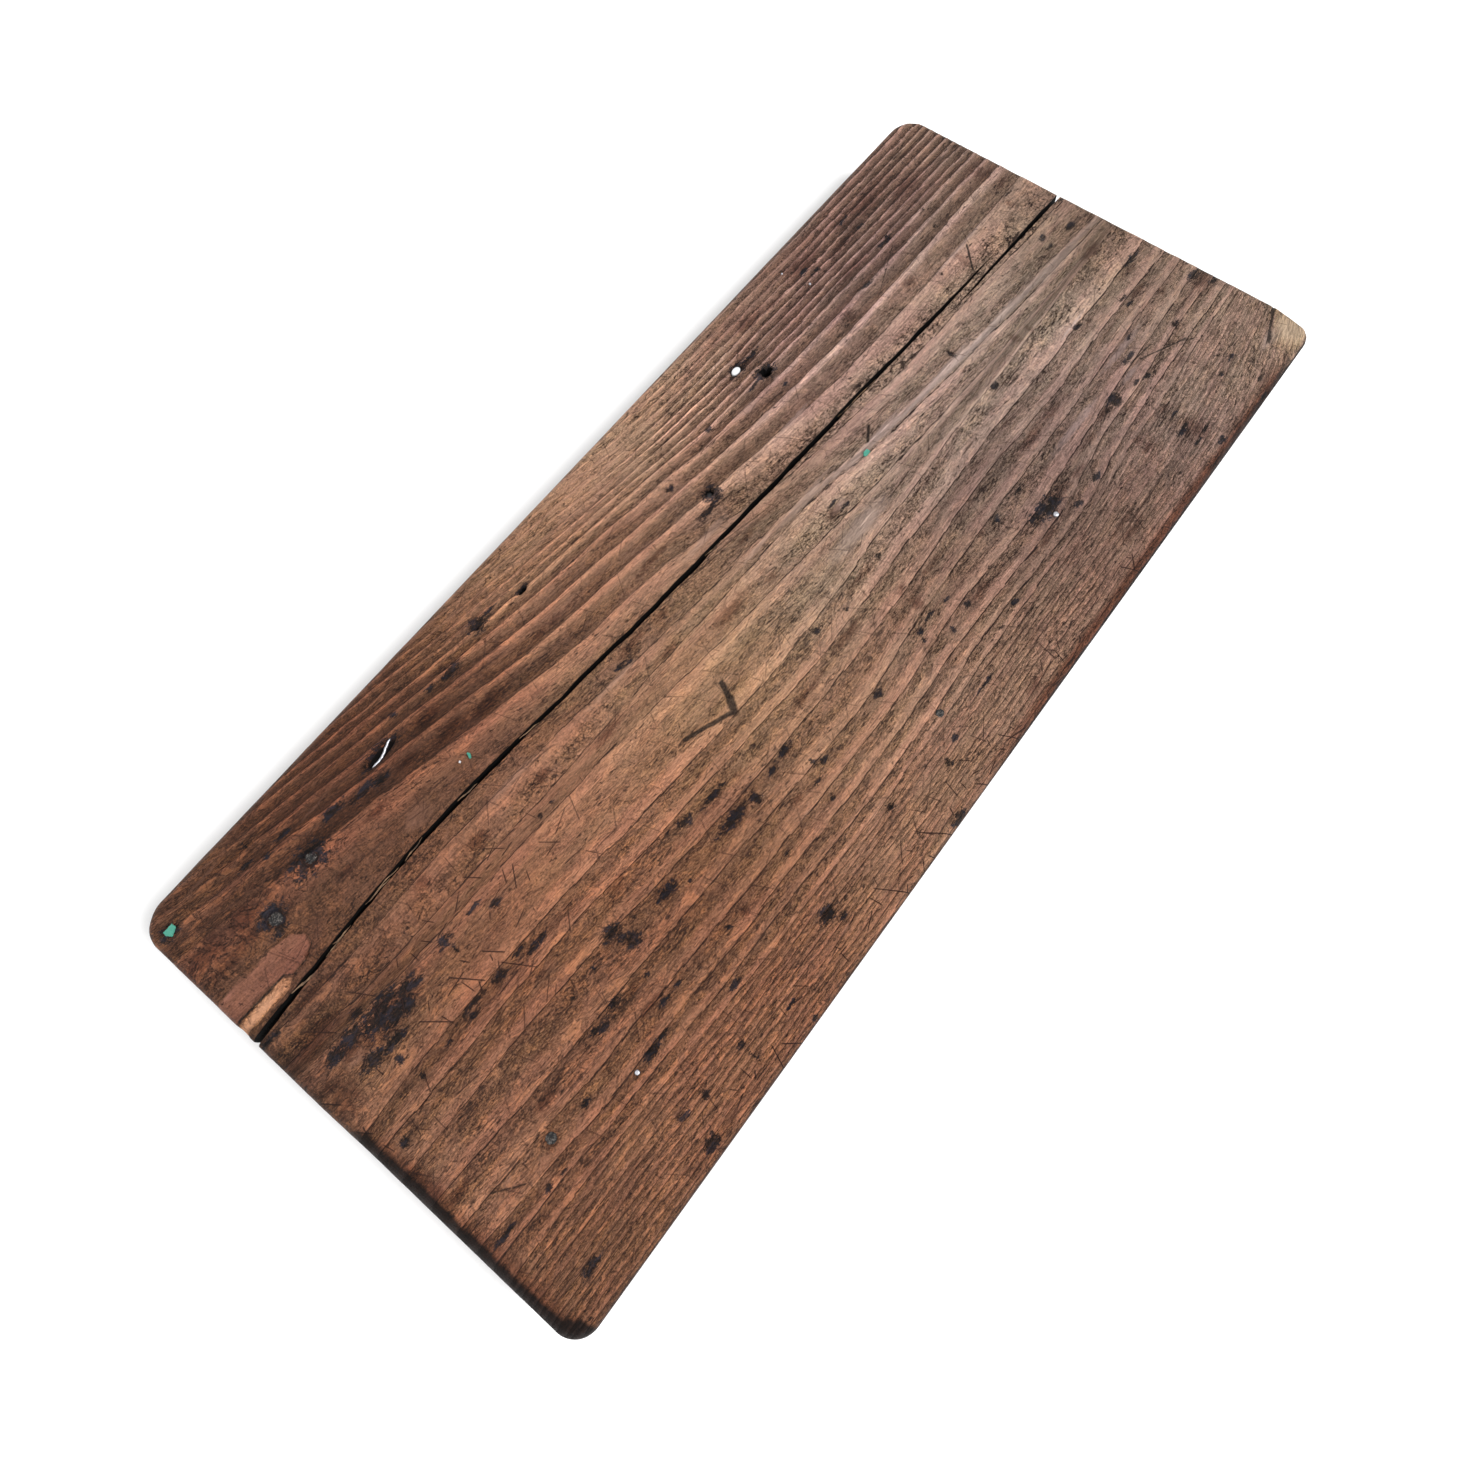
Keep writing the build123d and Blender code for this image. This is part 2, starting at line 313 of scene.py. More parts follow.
# ---- marks on the top face: (along, across, half length, half width) in mm -----------------
# Black: iron stain, dirt packed in holes, soot.
BLACK_MARKS = [
    (172, 70, 9, 2.2), (175, 81.5, 8, 1.6), (135, 72.5, 6, 2.0), (184, 68, 2, 3), (197, 69.5, 3, 1.2),
    (206, 70.5, 4, 1.4), (57, 189, 4, 2.6), (64.5, 190, 3.6, 3.2), (60, 186.8, 4.4, 1.6),
    (61, 192.4, 4.4, 1.4), (111, 79.5, 4.2, 2.9), (113.5, 71, 4.0, 3.4), (112, 75, 1.6, 1.8),
    (88, 40.5, 3.6, 2.4), (95, 41, 3, 1.0), (104, 48, 4, 1.1), (112, 48, 2, 0.9), (12, 42.5, 5, 1.0),
    (32, 40.5, 1.9, 1.2), (39, 39.8, 1.7, 0.8), (60, 48, 2, 1.2), (96.5, 76, 1.4, 1.5),
    (84, 75, 2, 1.5), (23, 13.5, 4.2, 2.0), (78, 5.5, 4, 2.4), (78, 18, 3, 1.1), (88, 17, 1.8, 2),
    (109, 17, 1.7, 1.2), (109, 11, 0.8, 2.5), (11.5, 89.5, 1.9, 2.4), (60, 102.6, 8, 0.9),
    (73, 101.5, 4, 1.5), (45, 100, 2.5, 1.0), (57, 99.5, 3.5, 0.9), (88, 98.6, 4, 1.5),
    (93, 98.8, 3, 1.7), (84, 102, 4, 1.0), (31, 100, 1.5, 1.8), (83, 59.5, 4, 1.6), (92, 62.3, 3, 1.5),
    (80, 61, 2, 1), (107, 59, 1.6, 1), (160, 84, 4, 2.0), (143, 67.8, 2, 0.8), (152.5, 86.5, 1.2, 1),
    (124, 31.3, 2.7, 1.2), (139, 46, 1.4, 1.6), (174, 45.3, 1.9, 1.0), (202, 44.5, 1.7, 0.9),
    (212, 56, 2.3, 1.3), (209, 59, 0.9, 2), (204, 53, 2.4, 1.2), (248, 55, 2.5, 1.7),
    (165, 20, 4.6, 2.6), (168, 15, 2, 1), (131, 11.5, 3.2, 0.8), (212.5, 25, 2.5, 1.6),
    (241, 17, 1.6, 1.9), (251, 21, 1.7, 1.2), (225, 2.2, 5, 1.8), (133, 1.6, 1.5, 1), (278, 24, 6, 0.7),
    (314.5, 34, 2.1, 1.4), (289, 47, 1.0, 2.6), (302, 49, 1.6, 2.4), (280, 57, 2, 1.3),
    (288, 58.2, 3, 0.9), (299, 57, 1.5, 1.0), (278, 53.5, 1.5, 0.8), (342, 61, 3, 1.2),
    (360, 61.5, 4, 0.8), (361, 46.5, 7, 4.2), (354, 48.5, 5, 2.2), (370, 37.5, 3, 1.6),
    (385, 38.5, 3, 1.5), (399.5, 98.7, 2.7, 1.6), (424.5, 52, 4.6, 3.3), (438, 49.7, 2.2, 1.0),
    (444, 47.6, 2.2, 1.2), (447, 59, 4.5, 1.2), (449, 86.6, 3.4, 1.2), (497, 86.5, 6, 1.4),
    (474, 78, 3.2, 1.1), (474, 74, 2.6, 0.9), (476, 52, 2.6, 1.3), (458, 64.6, 2.3, 0.8),
    (433, 28, 3, 1.0), (428, 21, 4.5, 1.3), (434, 14, 3, 0.9), (426, 12.7, 2.5, 0.9),
    (433, 5, 2.6, 1.3), (464, 22, 2.3, 1.2), (474, 23.2, 2.4, 0.7), (468, 5, 5, 0.7),
    (465, 1.5, 3, 0.9), (16, 129.5, 5, 2.8), (24, 129.5, 5, 3.0), (34, 127, 6.5, 4.6),
    (31, 134.5, 2.6, 1.8), (48.5, 126.5, 6, 2.8), (44.5, 120.8, 3.6, 2.6), (33, 116.5, 6, 2.4),
    (30, 111, 1.2, 2.6), (23.5, 118, 5.6, 3.2), (40, 123, 9, 3.2), (38, 129, 9, 3.4),
    (53, 124.5, 3.4, 1.6), (60, 205, 4, 1.2), (35, 179, 4, 2.6), (70, 126.5, 4, 1.8),
    (70.5, 121, 0.9, 2.4), (86, 126.5, 4, 1.0), (92, 121, 2.6, 1.6), (48.5, 213, 0.9, 2.2),
    (43, 207.5, 4, 1.0), (51, 203.3, 3, 0.9), (79, 196, 6, 1.9), (91, 192.3, 7, 1.8),
    (100, 190.5, 4, 2.4), (122, 205, 1.7, 1.7), (172, 205.2, 4.6, 3.4), (179, 205.8, 5, 0.7),
    (196, 201, 4.6, 1.3), (107.5, 198.3, 10.5, 3.0), (150, 199.5, 5.5, 1.9), (140, 201, 3, 1.2),
    (271, 182, 2.1, 1.5), (305, 187, 1.5, 1.5), (280, 165.5, 4.6, 4.2), (274, 161.8, 6.5, 1.5),
    (345, 186, 5.4, 4.4), (336.5, 185.2, 5, 0.8), (339, 197.2, 5.4, 3.0), (347, 196.6, 5, 1.0),
    (345, 174.5, 1.5, 0.9), (438, 185.5, 5, 1.1), (441, 186, 1.8, 1.8), (401, 206, 3, 1.3),
    (405, 201.5, 3, 1.3), (460, 171.5, 1.8, 1.2), (412, 177.6, 3.6, 0.9), (497, 120, 3.3, 2.0),
    (481, 121, 3.5, 1.0), (483, 126.5, 2.4, 1.6), (402.5, 124, 1.6, 2.2), (198, 143.8, 1.8, 1.0),
    (194, 145.5, 3, 1.0), (60.5, 189.5, 8.6, 5.4), (36, 184.5, 5.4, 4.4), (8.0, 211.8, 4.2, 3.4),
    (127.5, 130, 1.3, 1.1), (134.3, 129.8, 1.2, 1.0), (5, 152.5, 6, 1.4), (307, 121, 4, 0.9),
    (309, 116, 3.5, 0.8), (255, 91, 1.6, 1.6), (270, 87, 1.2, 1.2), (299, 91, 2.4, 1.1),
    (505, 59, 4, 2.2), (508, 50, 4, 1.4), (438.5, 209, 4, 1.0), (438.5, 200.5, 2.6, 1.0),
]
# Brown: bruised, dirty or soft wood, with broken edges.
BROWN_MARKS = [
    (38, 125, 20, 9), (22, 128, 9, 6.5), (61, 189, 9, 5.5), (37, 184, 8, 5.5), (135, 72.5, 8, 3.8),
    (175, 81, 11, 3.2), (172, 69.5, 11, 4.2), (197, 69.5, 4, 2), (206, 70, 6, 2.2), (125, 89, 5.5, 2.6),
    (158, 69, 3, 1.4), (184, 68, 2.4, 3.6), (187, 79.5, 4, 2), (147, 45, 2.6, 3), (193, 55, 4, 2),
    (100, 51, 8, 1.6), (310, 48, 9, 2.6), (332, 62, 4, 1.6), (100, 60, 6, 1.8), (392, 173.5, 4.8, 4.0),
    (425, 162, 5, 3.6), (130, 193, 10, 4.0), (132, 182, 11, 3.4), (150, 178, 12, 3.6),
    (112, 187, 7, 2.4), (90, 182, 8, 2.2), (66, 175, 6, 1.8), (10, 195, 15, 7), (30, 193, 12, 7),
    (26, 186, 10, 4), (450, 206, 24, 6.5), (428, 201, 14, 4.5), (472, 197, 15, 4.5),
    (405, 208, 15, 5.5), (362, 209, 10, 4), (415, 188, 18, 3), (340, 196, 14, 4), (12, 185, 10, 4),
    (52, 60, 6, 3), (12, 64, 9, 2.6), (412, 34, 3, 2.6), (411, 28.5, 4, 2), (433, 33, 4, 1.8),
    (432, 18, 6, 9), (505, 54, 8, 7), (490, 84, 8, 2.4), (482, 75, 7, 2.2), (489, 66, 3, 2.6),
    (490, 104, 8, 3.5), (435, 103, 2, 3), (427, 106, 2.6, 4), (465, 205.5, 12, 1.8), (455, 209, 8, 1.2),
    (363, 208, 8, 1.6), (358.5, 209, 4, 2.8), (401, 209, 9, 5.4), (378, 206, 8, 1.6),
    (395, 194, 5, 1.6), (500, 173, 5, 6), (500, 161, 7, 2.6), (450, 149, 3, 6), (492, 150, 2.6, 5),
    (185, 181.5, 5, 1.8), (194, 181, 4, 1.6), (240, 166, 14, 1.8), (275, 162, 9, 2.6),
    (205, 148, 12, 2), (222, 147, 6, 2.6), (272, 141, 6, 2), (210, 134, 10, 2), (170, 131, 12, 2.4),
    (240, 125, 14, 4), (305, 118, 8, 4), (264, 121, 5, 2.4), (140, 140, 6, 2.4), (105, 142, 8, 4),
    (80, 148, 5, 3), (24, 152, 14, 2.6), (16, 140, 18, 5), (44, 50, 4, 3.6), (385, 71, 12, 2.8),
    (402, 71, 8, 2.6), (310, 71, 10, 1.8), (286, 91, 12, 2), (262, 80, 12, 3), (230, 78, 14, 2.4),
    (383, 46, 6, 2), (400, 50.5, 8, 1.8), (415, 53, 7, 2), (366, 47, 14, 4.5), (348, 39, 10, 2),
    (372, 13, 12, 2.4), (372, 18, 12, 1.6), (288, 8, 8, 3), (290, 65, 3, 6), (291, 74, 4, 2.4),
    (8, 118, 8, 10), (6, 75, 4, 12),
]
# Pale: smooth ridges that feet have polished, and weathered silver wood.
PALE_MARKS = [
    (9, 163.2, 13, 2.6), (330, 160.2, 16, 1.3), (325, 171.2, 8, 1.2), (344, 169.8, 3, 1.4),
    (325, 188.3, 3, 0.9), (325, 180, 6, 2), (345, 180, 2, 1.4), (345, 125.5, 24, 1.8),
    (390, 121.5, 26, 1.6), (430, 117.5, 26, 2), (480, 112.8, 22, 1.8), (300, 132.5, 24, 1.4),
    (305, 105, 22, 5), (270, 133.5, 12, 1.4), (130, 148.2, 18, 1.2), (190, 142.8, 20, 1.0),
    (98, 168, 9, 5), (262, 154.5, 16, 2.2), (20, 123, 5, 2.4), (23, 119, 3, 2.4), (450, 64, 20, 1.8),
    (400, 59, 22, 2), (458, 154.8, 26, 1.3), (505, 9, 9, 9), (495, 14, 10, 3), (448, 88.6, 14, 0.9),
    (440, 54, 8, 1.6), (165, 11.6, 3, 0.5), (190, 48.4, 5, 0.5), (500, 193.5, 12, 0.7),
    (308, 118, 5, 2), (24, 53, 3, 0.6), (22, 50, 5, 0.6), (28, 157.4, 7, 0.8), (75, 203, 10, 0.8),
    (30, 217, 10, 1), (10, 176, 10, 0.8),
]

# ---- hollows and gouges in the top face: (along, across, half length, half width, depth) ----
DIM_DEPTH = 1.3             # a hollow is painted black, as shade, only below this depth
HOLLOWS = [
    (107.2, 198.1, 10.4, 2.6, 1.9), (344.5, 185.4, 2.6, 2.1, 9.0), (195.5, 200.6, 2.7, 1.1, 6.0),
    (8.2, 211.6, 3.4, 2.9, 0.55), (336.8, 124.2, 2.9, 1.9, 0.5), (128.6, 168.9, 1.5, 2.0, 0.45),
    (124.2, 169.9, 1.0, 0.9, 0.4), (337.6, 197.2, 4.0, 2.6, 2.2), (345, 197, 5.5, 1.0, 0.8),
    (360.0, 42.5, 2.0, 2.0, 1.6), (280.0, 167.0, 2.1, 2.1, 4.0), (279.5, 165, 3.6, 3.2, 0.8),
    (79.0, 40.3, 1.6, 1.6, 1.0), (394.0, 213.6, 0.9, 0.9, 0.7), (397.0, 199.4, 1.0, 1.0, 0.7),
    (60.5, 189.5, 4.3, 3.6, 0.9), (36.0, 183.5, 4.0, 3.8, 1.0), (44.0, 50.2, 2.8, 2.8, 0.7),
    (256.0, 31.2, 2.4, 2.4, 0.7), (172, 205.2, 3.6, 2.8, 0.8), (171, 204.4, 1.3, 1.0, 1.8),
    (111, 79.5, 3.2, 2.2, 0.45), (113.5, 71, 3.0, 2.6, 0.5), (424.5, 52, 3.8, 2.7, 0.6),
    (165, 20, 3.8, 2.0, 0.5), (449, 86.6, 3.0, 1.0, 1.0), (458, 64.4, 2.2, 0.9, 0.8),
    (476, 52, 2.2, 1.0, 0.9), (88, 40.5, 2.8, 1.8, 0.5), (441, 185.7, 1.8, 1.3, 0.9),
    (212.5, 25, 1.9, 1.2, 0.6), (248, 55, 2.0, 1.3, 0.6), (271, 182, 1.6, 1.1, 0.6),
    (503, 8, 14, 11, 1.4), (466, 1, 4, 1.8, 1.0), (172, 69.5, 9, 3.4, 0.35), (135, 72.5, 6, 3.0, 0.35),
    (34.5, 164.4, 1.0, 0.7, 1.5), (402.5, 124, 1.3, 1.8, 0.5), (497, 120, 2.6, 1.6, 0.5),
]
# Gouges: (along, across) from and to, width, depth.
GOUGES = [
    ((186.0, 104.6), (196, 101), 2.2, 0.8), ((196, 101), (207, 96.6), 2.6, 1.1),
    ((207, 96.6), (210.5, 101.5), 4.6, 1.2), ((210.5, 101.5), (213.6, 108), 3.2, 0.9),
    ((342, 127.2), (349, 131.6), 1.4, 0.5), ((412, 170), (439, 181.5), 0.8, 0.45),
    ((24, 165.4), (26.5, 162.9), 0.9, 0.5), ((26.5, 162.9), (33, 163.2), 0.9, 0.4),
    ((33, 163.2), (38.6, 166), 0.8, 0.4), ((38.6, 166), (40, 170), 0.8, 0.3),
    ((40, 170), (36, 175), 0.7, 0.3), ((36, 175), (28, 176.8), 0.7, 0.3),
    ((2, 166.5), (24, 165.6), 1.0, 0.5), ((465, 5), (484, 11.5), 1.3, 0.4),
    ((484, 11.5), (500, 17), 1.4, 0.4), ((500, 17), (512, 21.5), 1.5, 0.4),
    ((412, 212), (424, 215.6), 0.8, 0.3), ((439, 193), (438, 173), 0.5, 0.3),
    ((434.5, 219), (434.5, 206), 0.6, 0.2), ((424.5, 211), (425, 199), 0.5, 0.2),
    ((446, 171), (444.5, 163), 0.5, 0.25), ((448, 142), (459, 153), 1.1, 0.25),
    ((450, 54.5), (472, 44), 1.0, 0.35), ((462, 50.5), (475, 40.5), 0.9, 0.35),
    ((445, 57), (460, 55), 0.9, 0.4), ((18, 55), (29, 46.5), 0.9, 0.35),
    ((82, 88.5), (80.5, 79), 0.5, 0.3), ((107.5, 66.5), (110.5, 62), 0.5, 0.2),
    ((93, 24.5), (96, 15.5), 0.5, 0.2), ((9, 149), (18, 130), 0.7, 0.3),
    ((70, 156), (79, 146), 0.5, 0.2), ((212, 138), (215, 128), 0.5, 0.2),
    ((343, 57), (346.5, 43), 0.6, 0.25), ((339, 15.5), (345.5, 1), 0.6, 0.3),
    ((159, 9.5), (155, 3), 0.4, 0.2), ((159.5, 9.5), (161, 2), 0.4, 0.2),
    ((306, 11), (308, 1), 0.4, 0.2), ((332, 9), (323, 2), 0.4, 0.2),
    ((256.5, 136), (257, 127), 0.5, 0.2), ((262.5, 134), (263, 125), 0.5, 0.2),
    ((160, 148.5), (184, 149.3), 0.5, 0.2), ((220, 154.5), (240, 158.7), 0.6, 0.25),
    ((240, 158.7), (250, 157.6), 0.6, 0.25), ((120, 141.5), (136, 144), 0.5, 0.2),
    ((269, 97), (270, 87), 0.5, 0.2), ((382, 160), (382, 157), 0.5, 0.2),
]
# Where a strip of wood has lifted away beside the crack at the near end, corner by corner.
LIFTED_STRIP = [(-3, 160.6), (22, 160.0), (25.5, 162.6), (23, 165.4), (17, 166.4), (-3, 165.8)]
LIFTED_DEPTH = 0.9
# The smooth sliver that still stands beside it, a little proud of the face.
SLIVER_STEP = [(-3, 166.4), (17, 166.8), (23.5, 165.6), (26, 163.2), (33, 163.6), (38, 166), (39.5, 170),
               (36, 174.6), (28, 176.4), (-3, 177)]
SLIVER_RISE = 0.22
# The line of the break at the far right corner, from the far end to the right edge.
BROKEN_CORNER = [(LENGTH, 21.5), (465.0, 0.0)]
BROKEN_CORNER_DROP = 2.2


def oval_depth(along, across, oval):
    """1 at the middle of an oval mark, 0 on its edge, negative outside."""
    x, y, half_length, half_width = oval[:4]
    return 1 - np.hypot((along - x) / half_length, (across - y) / half_width)


def marks(along, across, ovals):
    """The nearest mark at each place: 1 in its middle, 0 on its edge, down to -1."""
    along = along + 0.5 * noise(along / 2.2, across / 1.6, 51)
    across = across + 0.4 * noise(along / 2.4, across / 1.4, 52)
    best = np.full(len(along), -1.0)
    for oval in ovals:
        close = np.flatnonzero((np.abs(along - oval[0]) < 2.2 * oval[2] + 2)
                               & (np.abs(across - oval[1]) < 2.2 * oval[3] + 2))
        best[close] = np.maximum(best[close], oval_depth(along[close], across[close], oval))
    return best


def line_distance(along, across, start, end):
    """Distance to a straight line from start to end, and how far along it (0 to 1)."""
    sx, sy = start
    dx, dy = end[0] - sx, end[1] - sy
    t = np.clip(((along - sx) * dx + (across - sy) * dy) / (dx * dx + dy * dy), 0, 1)
    return np.hypot(along - sx - t * dx, across - sy - t * dy), t


def inside_shape(along, across, corners):
    """Signed distance to a shape with straight sides: positive inside."""
    nearest = np.full(len(along), 1e9)
    inside = np.zeros(len(along), bool)
    for index, start in enumerate(corners):
        end = corners[(index + 1) % len(corners)]
        distance, _ = line_distance(along, across, start, end)
        nearest = np.minimum(nearest, distance)
        crosses = (start[1] > across) != (end[1] > across)
        run = end[1] - start[1] if end[1] != start[1] else 1e-9
        inside ^= crosses & (along < start[0] + (across - start[1]) * (end[0] - start[0]) / run)
    return np.where(inside, nearest, -nearest)


def gouge_share(along, across):
    """1 in the middle of a gouge, 0 at its edge and -1 well outside."""
    best = np.full(len(along), -1.0)
    for start, end, width, _ in GOUGES:
        distance, _ = line_distance(along, across, start, end)
        faint = 0.62 * smooth(1.3, 0.5, width)
        best = np.maximum(best, 1 - faint - distance / (width * 0.5 + 0.25))
    return best


def hollow_drop(along, across):
    """How far the hollows fall below the face."""
    drop = np.zeros(len(along))
    for hollow in HOLLOWS:
        near = (np.abs(along - hollow[0]) < hollow[2] + 1) & (np.abs(across - hollow[1]) < hollow[3] + 1)
        close = np.flatnonzero(near)
        inside = oval_depth(along[close], across[close], hollow)
        drop[close] = np.maximum(drop[close], hollow[4] * smooth(0, 0.38, inside))
    return drop


def damage_drop(along, across):
    """How far hollows, gouges and broken places fall below the face."""
    rough = 1 + 0.25 * layers(along / 1.9, across / 1.3, 41, 2)
    drop = hollow_drop(along, across)
    for start, end, width, depth in GOUGES:
        distance, t = line_distance(along, across, start, end)
        shape = np.clip(1 - distance / (width * 0.5 + 0.35), 0, 1)
        drop = np.maximum(drop, depth * shape * rough)
    strip = inside_shape(along, across, LIFTED_STRIP)
    drop = np.maximum(drop, LIFTED_DEPTH * smooth(0, 0.7, strip) * rough)
    (end_x, end_y), (edge_x, edge_y) = BROKEN_CORNER
    across_corner = (along - edge_x) / (end_x - edge_x) - across / end_y
    torn = 1 + 0.35 * layers(along / 5, across / 1.6, 43)
    return np.maximum(drop, np.clip(across_corner, 0, None) * BROKEN_CORNER_DROP * torn)


def sliver_share(along, across):
    """1 on the smooth sliver beside the lifted strip, 0 off it."""
    return smooth(-0.2, 0.5, inside_shape(along, across, SLIVER_STEP))


# ---- the board's mesh ----------------------------------------------------------------------
def column_spots():
    """Places along the board, close together where the ends are rounded over."""
    inner = LENGTH - 2 * EDGE_STEPS[-1]
    count = round(inner / COLUMN_STEP)
    middle = EDGE_STEPS[-1] + inner * np.arange(1, count) / count
    return np.concatenate([EDGE_STEPS, middle, LENGTH - EDGE_STEPS[::-1]])


def crack_rows(crack, along):
    """Rows down one side of a crack and up the other."""
    centre, width, _ = crack_line(crack, along)
    half = np.maximum(width, CLOSED_CRACK) / 2
    return [centre - half - 0.5, centre - half, centre - half * 0.88, centre,
            centre + half * 0.88, centre + half, centre + half + 0.5]


def rows_between(low, high, count):
    """Evenly spaced rows between two others."""
    return [low + (high - low) * step / (count + 1) for step in range(1, count + 1)]


def row_lines(along):
    """How far across each row of the mesh lies at each column: along the ring lines, the cracks
    and the two long edges."""
    last_right = len(RINGS_TO_RIGHT) + RIGHT_OUTER_COUNT
    right = []
    for ring in range(1, last_right):
        steps = RING_STEPS if ring < len(RINGS_TO_RIGHT) else NARROW_RING_STEPS
        right += [-(ring + step) for step in steps]
    right = [ring_line(number, along) for number in sorted(right)]
    for index, row in enumerate(right):
        right[index] = np.maximum(row, EDGE_STEPS[-1] + CLOSEST_ROWS * (index + 1))
    last_left = len(RINGS_TO_LEFT) + LEFT_OUTER_COUNT
    left = []
    for ring in range(5, last_left):
        steps = RING_STEPS if ring < len(RINGS_TO_LEFT) else NARROW_RING_STEPS
        left += [ring + step for step in steps]
    left = [ring_line(number, along) for number in sorted(left)]
    for index, row in enumerate(left):
        left[index] = np.minimum(row, WIDTH - EDGE_STEPS[-1] - CLOSEST_ROWS * (len(left) - index))
    far_crack = crack_rows(FAR_CRACK, along)
    main_crack = crack_rows(MAIN_CRACK, along)
    edge = [np.full(len(along), step) for step in EDGE_STEPS]
    rows = edge + right
    rows += rows_between(right[-1], far_crack[0], ROWS_TO_RIGHT_OF_CRACKS) + far_crack
    rows += rows_between(far_crack[-1], main_crack[0], ROWS_BETWEEN_CRACKS) + main_crack
    rows += rows_between(main_crack[-1], left[0], ROWS_TO_LEFT_OF_CRACKS) + left
    rows += [WIDTH - row for row in reversed(edge)]
    return np.array(rows)


def top_grid():
    """The flat mesh of the top face, in millimetres."""
    columns = column_spots()
    rows = row_lines(columns)
    row_count, column_count = rows.shape
    along, across = round_corners(np.tile(columns, row_count), rows.ravel())
    corners = np.arange(row_count * column_count).reshape(row_count, column_count)
    faces = np.stack([corners[:-1, :-1], corners[:-1, 1:], corners[1:, 1:], corners[1:, :-1]], axis=-1)
    mesh = bpy.data.meshes.new("top_grid")
    spots = np.stack([along, across, np.zeros(len(along))], axis=1)
    mesh.from_pydata(spots.tolist(), [], faces.reshape(-1, 4).tolist())
    bm = bmesh.new()
    bm.from_mesh(mesh)
    bpy.data.meshes.remove(mesh)
    return bm


def refine(bm, zones, margin):
    """Splits the cells in and just round some oval zones."""
    bm.verts.index_update()
    spots = np.array([v.co[:2] for v in bm.verts])
    inside = np.zeros(len(spots), bool)
    for zone in zones:
        x, y, half_length, half_width = zone[:4]
        away_x = (spots[:, 0] - x) / (half_length + margin)
        away_y = (spots[:, 1] - y) / (half_width + margin)
        inside |= np.hypot(away_x, away_y) < 1
    edges = [e for e in bm.edges if inside[e.verts[0].index] and inside[e.verts[1].index]]
    bmesh.ops.subdivide_edges(bm, edges=edges, cuts=1, use_grid_fill=True)


def border_loop(bm):
    """The vertices round the top face's edge, in order."""
    following = {}
    for edge in bm.edges:
        if edge.is_boundary:
            corner = edge.link_loops[0]
            following[corner.vert] = corner.link_loop_next.vert
    first = next(iter(following))
    loop = [first]
    while following[loop[-1]] is not first:
        loop.append(following[loop[-1]])
    return loop


def outward(along, across):
    """The direction out of the board at places on its outline."""
    x = np.zeros(len(along))
    y = np.zeros(len(along))
    for (end, side), radius in CORNERS.items():
        u = along if end == "near" else LENGTH - along
        v = across if side == "right" else WIDTH - across
        inside = (u < radius) & (v < radius)
        x = np.where(inside, (u - radius) * (1 if end == "near" else -1), x)
        y = np.where(inside, (v - radius) * (1 if side == "right" else -1), y)
    straight = (x == 0) & (y == 0)
    on_end = np.minimum(along, LENGTH - along) < np.minimum(across, WIDTH - across)
    x = np.where(straight & on_end, np.sign(along - LENGTH / 2), x)
    y = np.where(straight & ~on_end, np.sign(across - WIDTH / 2), y)
    size = np.maximum(np.hypot(x, y), 1e-6)
    return x / size, y / size


def side_rows(along, across, top):
    """Rows of points from the top edge down to the underside."""
    out_x, out_y = outward(along, across)
    girth = along + across * 1.7
    rows = []
    for level in range(1, SIDE_LEVELS + 1):
        z = top + (BOTTOM_ARRIS - top) * level / SIDE_LEVELS
        inset = 0.10 + 0.10 * layers(girth / 11, z / 1.7, 61, 3) + 0.10 * noise(girth / 60, z / 9, 64)
        inset = np.clip(inset, 0, None) * smooth(0, 2, top - z)
        rows.append((along - out_x * inset, across - out_y * inset, z))
    for step in range(1, BOTTOM_ARRIS_STEPS + 1):
        angle = pi / 2 * step / BOTTOM_ARRIS_STEPS
        inset = BOTTOM_ARRIS * (1 - cos(angle)) + 0.1
        z = np.full(len(along), BOTTOM_ARRIS * (1 - sin(angle)))
        rows.append((along - out_x * inset, across - out_y * inset, z))
    return rows


def close_board(bm):
    """Adds the sides, the ends and the underside below the top face."""
    upper = border_loop(bm)
    spots = np.array([v.co[:] for v in upper])
    for along, across, z in side_rows(spots[:, 0], spots[:, 1], spots[:, 2]):
        lower = [bm.verts.new(spot) for spot in zip(along, across, z)]
        for index in range(len(upper)):
            after = (index + 1) % len(upper)
            bm.faces.new((upper[index], lower[index], lower[after], upper[after]))
        upper = lower
    bm.faces.new(reversed(upper))


def body_ring(along, across, z):
    """(ring number, ring width) inside the board, matching the rings of the top face above it."""
    middle = (ring_line(-1, along) + ring_line(1, along)) / 2
    depth = THICKNESS - PITH[1]
    offset = across - middle
    radius = np.hypot(offset, z - PITH[1])
    reach = np.sqrt(np.maximum(radius ** 2 - depth ** 2, 0))
    number, _, _ = grain(along, middle + np.sign(offset) * reach)
    number = np.abs(number) - np.maximum(depth - radius, 0) / BODY_RING
    return number, np.full(len(along), BODY_RING)


